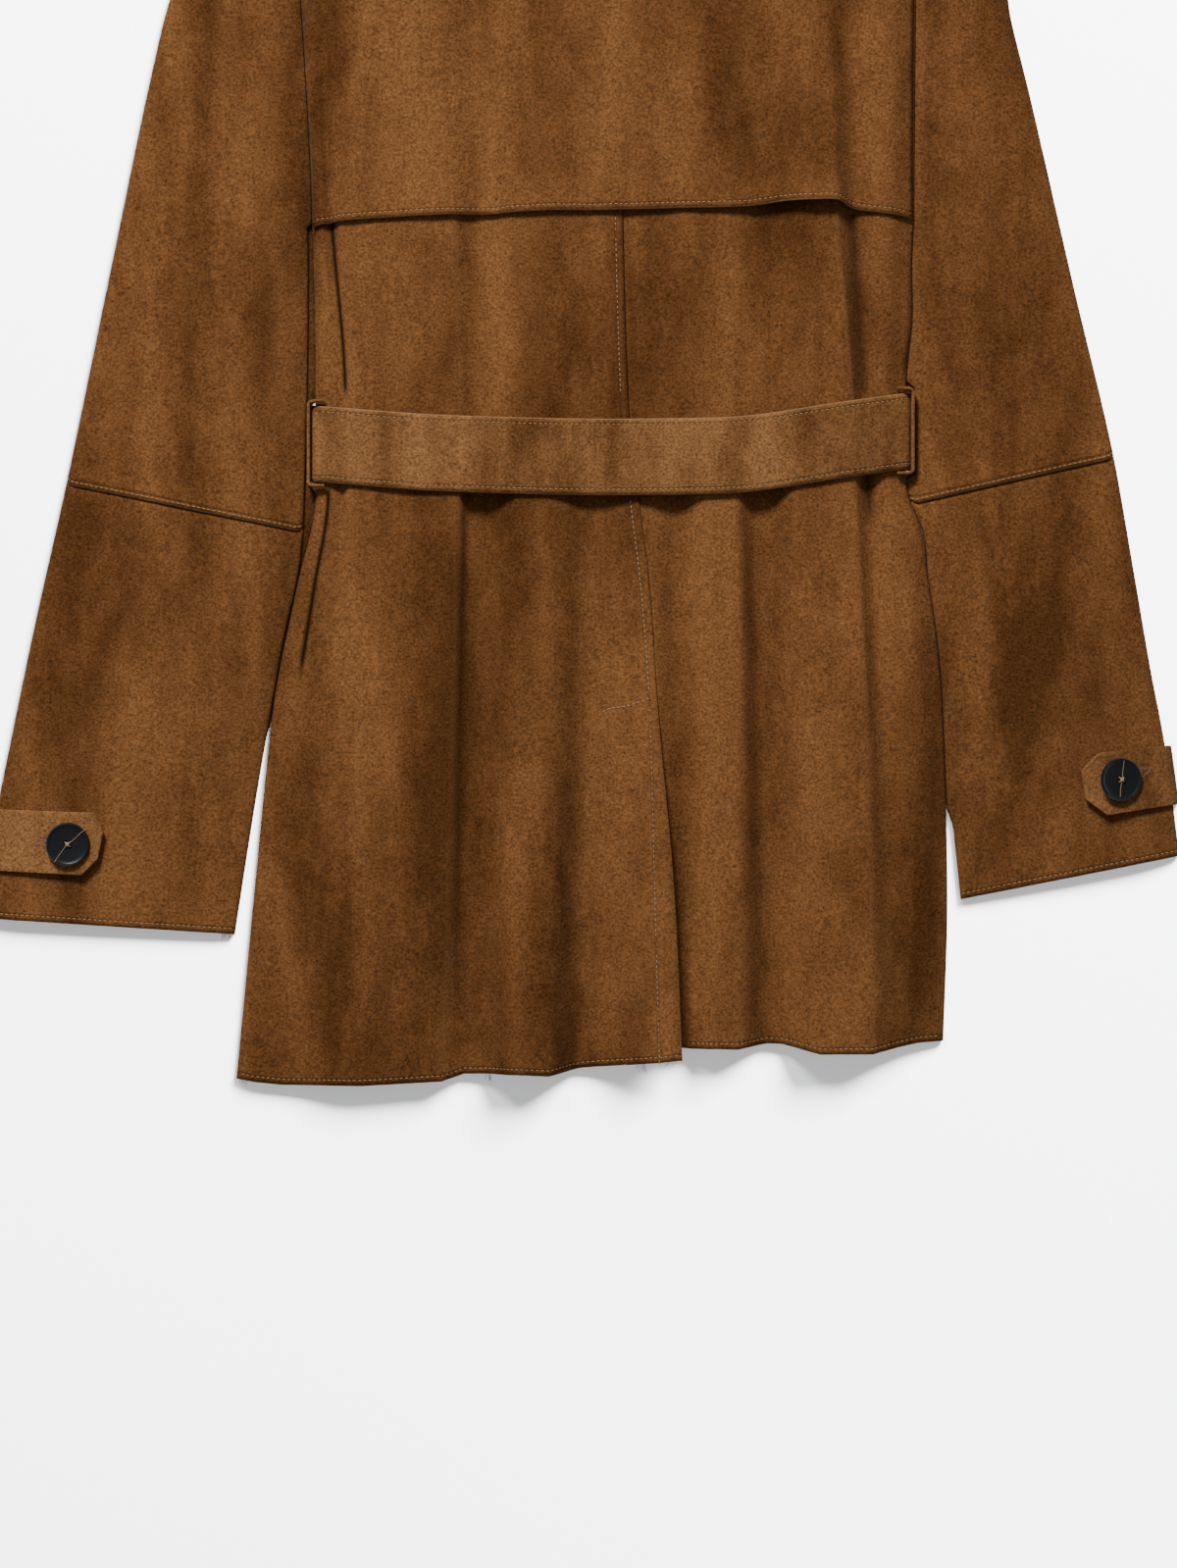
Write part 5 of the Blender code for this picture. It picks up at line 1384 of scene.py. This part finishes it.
def tab_grid(side):
    sections, tab = sections_of(side), TABS[side]
    outward = -1 if side == "left" else 1
    shares = np.linspace(0.0, 1.0, TAB_POINTS) ** TAB_CROWDING
    grid = []
    for edge in np.linspace(0.0, 1.0, TAB_ROWS):
        cut = tab.chamfer * max(0.0, 1 - min(edge, 1 - edge) / TAB_CORNER)
        up = np.full(len(shares), tab.low + (tab.high - tab.low) * (1 - edge))
        here, normal = sleeve_frame(sections, up, TAB_ROOT + (tab.reach - cut) * shares)
        line = here + normal * (TAB_OUT + TAB_LIFT * shares ** 2)[:, None]
        side_x = line[0, 0] + outward * (DOUBLE + TAB_REST)
        wrap = [(side_x + outward * reach, line[0, 1], z) for reach, z in TAB_WRAP]
        grid.append(curved(np.concatenate([wrap, line]), TAB_COLUMNS))
    grid = np.array(grid)
    return grid if side == "left" else grid[:, ::-1]


def round_edges(piece, width=0.5):
    bevel = piece.modifiers.new("soft edge", "BEVEL")
    bevel.width = width * 0.001
    bevel.segments = 2
    bevel.angle_limit = math.radians(50)
    return piece


for side in TABS:
    tab = add_cloth(f"cuff_tab_{side}_cloth", f"cuff_tab_{side}", tab_grid(side), light_suede, DOUBLE,
                    rests_on=[f"sleeve_{side}_lower_cloth"])
    round_edges(tab)

# %% [markdown]
# ## Tubes of thread
# Topstitching, the knots on the buttons and the loose ends are all thin tubes along paths.
# One function turns many paths into one mesh, with the ends drawn in a little.

# %% Thread helpers
THREAD_SIDES = 6
dice = np.random.default_rng(7)


def tube_mesh(name, paths, radius):
    """One mesh of tubes along paths, each a (steps, 3) array in millimetres."""
    turn = np.arange(THREAD_SIDES) * 2 * math.pi / THREAD_SIDES
    points, faces, first = [], [], 0
    for path in paths:
        path = np.asarray(path, float)
        along = np.gradient(path, axis=0)
        side = np.cross(along, (0.0, 0.0, 1.0)) + (1e-6, 0, 0)
        side /= np.linalg.norm(side, axis=1, keepdims=True)
        up = np.cross(side, along)
        up /= np.linalg.norm(up, axis=1, keepdims=True)
        thick = np.full(len(path), radius)
        thick[0] = thick[-1] = 0.55 * radius
        ring = side[:, None] * np.cos(turn)[:, None] + up[:, None] * np.sin(turn)[:, None]
        points.append((path[:, None] + ring * thick[:, None, None]).reshape(-1, 3))
        for step in range(len(path) - 1):
            for k in range(THREAD_SIDES):
                here = first + step * THREAD_SIDES
                a, b = here + k, here + (k + 1) % THREAD_SIDES
                faces.append((a, b, b + THREAD_SIDES, a + THREAD_SIDES))
        first += len(path) * THREAD_SIDES
    mesh = bpy.data.meshes.new(name)
    mesh.from_pydata(((np.concatenate(points) + ORIGIN) * 0.001).tolist(), [], faces)
    mesh.shade_smooth()
    return mesh


def add_thread(name, paths, radius, material):
    return add_object(name, tube_mesh(name, paths, radius), material)


print("a thread has", THREAD_SIDES, "sides")

# %% [markdown]
# ## Buttons
# A turned disc with a fine raised rim, a flat face and four holes. Its holes are cut with the
# Boolean modifier. A pale thread is knotted over the middle and its ends lie across the face.

# %% Buttons
BUTTON_RADIUS, BUTTON_HEIGHT, BUTTON_HOLE, BUTTON_SPREAD = 15.5, 3.2, 1.15, 2.7
BUTTON_STEPS, HOLE_SIDES = 72, 20
HOLES = [(BUTTON_SPREAD * math.cos(angle), BUTTON_SPREAD * math.sin(angle))
         for angle in math.pi * (0.25 + 0.5 * np.arange(4))]


def button_mesh(name):
    r, h = BUTTON_RADIUS, BUTTON_HEIGHT
    outline = ((0, h - 0.85), (r - 4.2, h - 0.8), (r - 2.7, h - 0.62), (r - 2.0, h - 0.3),
               (r - 1.5, h - 0.05), (r - 1.1, h), (r - 0.7, h - 0.12), (r - 0.3, h - 0.6),
               (r, h * 0.5), (r - 0.3, h * 0.25), (r - 1.2, 0.1), (r - 2.5, 0), (0, 0))
    mesh = bpy.data.meshes.new(name)
    edges = [(k, k + 1) for k in range(len(outline) - 1)]
    mesh.from_pydata([(x * 0.001, 0, z * 0.001) for x, z in outline], edges, [])
    return mesh


def hole_cutter(name, place):
    mesh = bpy.data.meshes.new(name)
    shape = bmesh.new()
    bmesh.ops.create_cone(shape, cap_ends=True, segments=HOLE_SIDES, radius1=BUTTON_HOLE * 0.001,
                          radius2=BUTTON_HOLE * 0.001, depth=0.02)
    shape.to_mesh(mesh)
    shape.free()
    cutter = bpy.data.objects.new(name, mesh)
    cutter.matrix_world = place
    cutter.hide_render = True
    COAT.objects.link(cutter)
    return cutter


def add_button(side):
    sections, tab = sections_of(side), TABS[side]
    (here,), (normal,) = sleeve_frame(sections, [tab_middle(tab)], [TAB_ROOT + tab.button_at])
    up = Matrix.Rotation(math.radians(tab.tilt), 3, "Y") @ Vector(normal)
    off = TAB_OUT + TAB_LIFT * (tab.button_at / tab.reach) ** 2 + tab.seat
    centre = Vector((here + normal * off + ORIGIN) * 0.001)
    name = f"cuff_button_{side}_disc"
    button = add_object(name, button_mesh(name), plastic)
    place = Matrix.Translation(centre) @ up.to_track_quat("Z", "Y").to_matrix().to_4x4()
    place = place @ Matrix.Rotation(-math.pi / 2, 4, "Z")
    button.matrix_world = place
    lathe = button.modifiers.new("turn", "SCREW")
    lathe.steps = lathe.render_steps = BUTTON_STEPS
    lathe.use_merge_vertices = True
    lathe.merge_threshold = 0.00001
    lathe.use_smooth_shade = True
    for k, (x, y) in enumerate(HOLES, start=1):
        cut = button.modifiers.new(f"hole {k}", "BOOLEAN")
        offset = Matrix.Translation(Vector((x, y, 0)) * 0.001)
        cut.object = hole_cutter(f"{name}_hole_{k}", place @ offset)
    crisp = button.modifiers.new("crisp hole rims", "EDGE_SPLIT")
    crisp.split_angle = math.radians(32)
    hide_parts(f"cuff_button_{side}")
    return place


def on_button(place, points):
    """Points in a button's own millimetres, moved to where it lies."""
    return [np.array(place @ (Vector(p) * 0.001)) * 1000 - ORIGIN for p in points]


BUTTON_PLACES = {side: add_button(side) for side in TABS}
print("buttons at", [tuple(round(c, 3) for c in p.translation) for p in BUTTON_PLACES.values()])

# %% Threads on the buttons
FACE = BUTTON_HEIGHT - 0.8
KNOT_TURNS = 7
LOOSE_ENDS = {
    "left": [[(1.2, 0.8, 0.9), (5.5, 4.2, 0.5), (9.0, 7.4, 0.9), (13.4, 10.8, 1.6)],
             [(-1.5, -1.6, 0.8), (-4.6, -5.4, 0.35), (-7.2, -9.0, 0.4), (-9.6, -12.4, 1.2)]],
    "right": [[(0.3, 1.4, 0.9), (0.8, 6.0, 0.4), (1.4, 10.2, 0.5), (1.6, 13.6, 1.2)],
              [(-0.2, -1.6, 0.8), (-0.8, -5.2, 0.35), (-1.2, -9.6, 0.4), (-1.4, -12.2, 0.9)]],
}


def knot_paths():
    """Strands that cross from hole to hole, a few times each, and a small ball of turns."""
    paths = []
    for first, second in ((0, 2), (1, 3), (2, 0), (3, 1), (0, 2), (1, 3)):
        (x0, y0), (x1, y1) = HOLES[first], HOLES[second]
        shift_x, shift_y = dice.uniform(-0.35, 0.35), dice.uniform(-0.35, 0.35)
        top = dice.uniform(0.7, 1.3)
        paths.append([(x0, y0, FACE - 1.4), (x0 * 0.9, y0 * 0.9, FACE + 0.25),
                      (shift_x, shift_y, FACE + top), (x1 * 0.9, y1 * 0.9, FACE + 0.25),
                      (x1, y1, FACE - 1.4)])
    for _ in range(KNOT_TURNS):
        angle = dice.uniform(0, math.pi)
        tilt = dice.uniform(-0.6, 0.6)
        ring = []
        for k in range(9):
            a = 2 * math.pi * k / 8
            ring.append((1.25 * math.cos(a) * math.cos(angle), 1.25 * math.cos(a) * math.sin(angle),
                         FACE + 1.1 + 0.75 * math.sin(a) + tilt * 0.4 * math.cos(a)))
        paths.append(ring)
    return paths


for side, place in BUTTON_PLACES.items():
    knot = [curved(on_button(place, path), 16) for path in knot_paths()]
    add_thread(f"button_knot_{side}", knot, 0.34, knot_thread)
    ends = [[(x, y, FACE + z) for x, y, z in path] for path in LOOSE_ENDS[side]]
    add_thread(f"button_loose_ends_{side}", [curved(on_button(place, path), 24) for path in ends], 0.2,
               pale_thread)
print("knots tied:", len(BUTTON_PLACES))

# %% Buttonholes
BUTTONHOLE_THREADS, BUTTONHOLE_OFFSETS = 26, {"left": 1.5, "right": 3.5}


def buttonhole(side):
    """Short stray threads round the end of the buttonhole that shows beside the button."""
    sections, tab = sections_of(side), TABS[side]
    middle = tab_middle(tab) + BUTTONHOLE_OFFSETS[side]
    near = TAB_ROOT + tab.button_at - BUTTON_RADIUS
    paths = []
    for _ in range(BUTTONHOLE_THREADS):
        up = middle + dice.uniform(-3.4, 3.4)
        reach = near - dice.uniform(-1.0, 8.5) * (1 - 0.05 * abs(up - middle))
        ups, reaches = np.full(3, up), np.full(3, reach)
        ups = ups + np.array((-1, 0, 1)) * dice.uniform(-1.4, 1.4)
        reaches = reaches + np.array((-1, 0, 1)) * dice.uniform(0.4, 1.6)
        here, normal = sleeve_frame(sections, ups, reaches)
        share = (reaches - TAB_ROOT) / tab.reach
        off = TAB_OUT + TAB_LIFT * share ** 2 + np.array((0.0, dice.uniform(0.1, 0.45), 0.0))
        paths.append(curved(here + normal * off[:, None], 7))
    return paths


for side in TABS:
    add_thread(f"buttonhole_threads_{side}", buttonhole(side), 0.17, buttonhole_thread)

# %% [markdown]
# ## The collar
# A low stand goes up from the neck seam, and the fall comes back over it and lies on the
# flap. Both are past the top of the photo, so they are plain.

# %% Collar
ROLL_Y, ROLL_HALF, FALL_Y, FALL_HALF = 454.0, 80.0, 376.0, 122.0
STAND_TOP = 2.9
FALL_BOW = (-6.0, 34.0)
FALL_CLEAR = 0.6


def stand_grid():
    a = np.linspace(-1.0, 1.0, 61)[None, :]
    share = np.linspace(1.0, 0.0, 9)[:, None]
    low_x, high_x = a * (NECK_HALF - 1), a * (ROLL_HALF - 1)
    low_y, high_y = shoulder_y(low_x) + SEAM + 0.2, ROLL_Y - 1 - 6 * a * a
    x, y = low_x + (high_x - low_x) * share, low_y + (high_y - low_y) * share
    return np.stack([x, y, STAND_TOP + (DOUBLE - STAND_TOP) * share + 0 * a], axis=2)


def flap_height(x, y):
    """Height of the flap's grid below each point of the fall."""
    flat = FLAP[:40].reshape(-1, 3)
    z = np.empty(x.shape)
    for index in np.ndindex(x.shape):
        gap = (flat[:, 0] - x[index]) ** 2 + (flat[:, 1] - y[index]) ** 2
        z[index] = flat[np.argmin(gap), 2]
    return z


def fall_grid():
    share = np.linspace(0.0, 1.0, 27)[:, None]
    a = np.linspace(-1.0, 1.0, 71)[None, :]
    x = a * (ROLL_HALF + (FALL_HALF - ROLL_HALF) * share)
    bow = (FALL_BOW[0] * (1 - share) + FALL_BOW[1] * share) * a * a
    y = ROLL_Y + (FALL_Y - ROLL_Y) * share + bow
    under = flap_height(x, np.minimum(y, shoulder_y(x) - 1.0))
    grid = np.stack([x, y, under + DOUBLE + FALL_CLEAR], axis=2)
    for _ in range(3):
        grid[..., 2] = np.maximum(grid[..., 2], eased(grid, 3)[..., 2])
        down = eased(grid.transpose(1, 0, 2), 3).transpose(1, 0, 2)
        grid[..., 2] = np.maximum(grid[..., 2], down[..., 2])
    return grid


add_cloth("collar_stand_cloth", "collar_stand", stand_grid(), suede, DOUBLE - 0.6,
          rests_on=["collar_fall_cloth"])
FALL = fall_grid()
fall = add_cloth("collar_fall_cloth", "collar_fall", FALL, suede, DOUBLE,
                 rests_on=["storm_flap_cloth", "collar_stand_cloth"], edges=("bottom", "left", "right"))
round_edges(fall)

# %% [markdown]
# ## Topstitching
# Single rows of pale thread run a few millimetres inside every raw edge and beside the centre
# seam. Each stitch is a small tube whose ends go into the cloth. A worn row shows only here
# and there, so some stitches sink deeper than others, in slow waves along the row.

# %% Rows of stitches
STITCH, STITCH_GAP, STITCH_RADIUS = 2.7, 1.0, 0.34
STITCH_ARC = np.array((-0.16, 0.12, 0.12, -0.16))


def edge_line(grid, edge, inset=EDGE_STITCH, first=0, last=None):
    """Points and normals on the surface, a few millimetres inside its top or bottom edge."""
    rows = slice(None, None, -1 if edge == "bottom" else 1)
    points, ups = grid[rows, first:last], normals_of(grid)[rows, first:last]
    line = []
    for column in range(points.shape[1]):
        done = distances(points[:, column])
        line.append([on_path(inset, done, layer[:, column]) for layer in (points, ups)])
    return np.array(line).transpose(1, 0, 2)


def sew(line, sunk=0.08, worn=0.3):
    """Stitch paths along a line of points with their normals."""
    points, ups = line
    at = distances(points)
    phase = dice.uniform(0, 6)
    paths = []
    for start in np.arange(1.0, at[-1] - STITCH, STITCH + STITCH_GAP):
        where = start + STITCH * np.array((0.0, 0.25, 0.75, 1.0)) + dice.uniform(-0.15, 0.15)
        here, up = on_path(where, at, points), on_path(where, at, ups)
        wave = 0.5 + 0.5 * math.sin(start / 13.0 + phase) * math.sin(start / 5.1 + 2 * phase)
        depth = sunk + worn * wave * dice.uniform(0.3, 1.0)
        paths.append(here + up * (STITCH_ARC - depth)[:, None])
    return paths


rows = {
    "flap": sew(edge_line(FLAP, "bottom", first=1, last=-1), worn=0.22),
    "hem_left": sew(edge_line(LEFT_GRID, "bottom", first=TURN_COLUMNS)),
    "hem_right": sew(edge_line(RIGHT_GRID, "bottom", last=-TURN_COLUMNS)),
    "belt_top": sew(edge_line(BELT, "top"), worn=0.25),
    "belt_bottom": sew(edge_line(BELT, "bottom"), worn=0.25),
    "collar": sew(edge_line(FALL, "bottom")),
}
for side, (upper, lower) in SLEEVES.items():
    ends = (TURN_COLUMNS - 3, -TURN_COLUMNS + 3)
    rows[f"elbow_{side}"] = sew(edge_line(upper, "bottom", 2.6, *ends), worn=0.2)
    rows[f"cuff_{side}"] = sew(edge_line(lower, "bottom", EDGE_STITCH, *ends), worn=0.2)
for name, paths in rows.items():
    add_thread(f"stitches_{name}", paths, STITCH_RADIUS, thread)
print("stitches:", sum(len(paths) for paths in rows.values()))

# %% Centre seam and vent
BELT_COVERS = (34.0, -30.0)
VENT_HOOK = ((30.1, -174), (24.5, -176), (11, -180), (2.8, -181), (-7, -185))


def seam_rows():
    """The row beside the centre seam, above and below the belt, and the vent's slanted top."""
    points, ups = LEFT_GRID[:, SEAM_COLUMN], normals_of(LEFT_GRID)[:, SEAM_COLUMN]
    above = (LEVELS < FLAP_LEVEL - 4) & (LEVELS > BELT_COVERS[0])
    below = (LEVELS < BELT_COVERS[1]) & (LEVELS > VENT + 2)
    lower = LEVELS < VENT - 4
    rows = sew((points[above], ups[above]), 0.16, 0.35) + sew((points[below], ups[below]), 0.05, 0.3)
    rows += sew((points[lower], ups[lower]), 0.2, 0.3)
    flat = LEFT_GRID[:, TURN_COLUMNS:].reshape(-1, 3)
    marks = curved([(x, y, 0.0) for x, y in VENT_HOOK], 24)
    for mark in marks:
        mark[2] = flat[np.argmin(np.hypot(*(flat[:, :2] - mark[:2]).T)), 2]
    marks[:, 2] = np.convolve(np.pad(marks[:, 2], 2, mode="edge"), np.ones(5) / 5, mode="valid")
    return rows + sew((marks, np.tile((0.0, 0.0, 1.0), (len(marks), 1))), -0.02, 0.25)


add_thread("stitches_centre", seam_rows(), STITCH_RADIUS, pale_thread)

# %% [markdown]
# ## Loose threads and frayed corners
# The raw corners of the hems have short frayed ends, and one longer thread hangs beside the
# left belt loop.

# %% Loose threads
Fray = namedtuple("Fray", "name x y spread down count")
FRAYS = (
    Fray("hem corner left", -262, -445, 5, 5.0, 9),
    Fray("hem under the crease", -84, -444, 3, 5.0, 4),
    Fray("hem near the vent", 25, -436, 5, 8.0, 5),
    Fray("hem at the vent", 44, -434, 7, 2.5, 6),
    Fray("cuff corner left", -272, -342, 6, 5.0, 9),
)
LOOSE_THREAD = ((-207, -24, 6.0), (-205, -32, 2.6), (-201, -41, 1.4), (-197, -49, 3.5),
                (-194, -54, 6.0))


def fray_paths(fray):
    paths = []
    for _ in range(fray.count):
        x = fray.x + dice.uniform(-fray.spread, fray.spread)
        lean, drop = dice.uniform(-2.5, 2.5), fray.down * dice.uniform(0.4, 1.0)
        height = dice.uniform(2.0, 5.0)
        paths.append(curved([(x, fray.y + 3.0, height + 1.0), (x + 0.2 * lean, fray.y, height),
                             (x + 0.7 * lean, fray.y - 0.6 * drop, 0.5 * height),
                             (x + lean, fray.y - drop, 0.8)], 9))
    return paths


add_thread("frayed_ends", [path for fray in FRAYS for path in fray_paths(fray)], 0.11, thread)
add_thread("loose_thread", [curved(LOOSE_THREAD, 30)], 0.16, pale_thread)
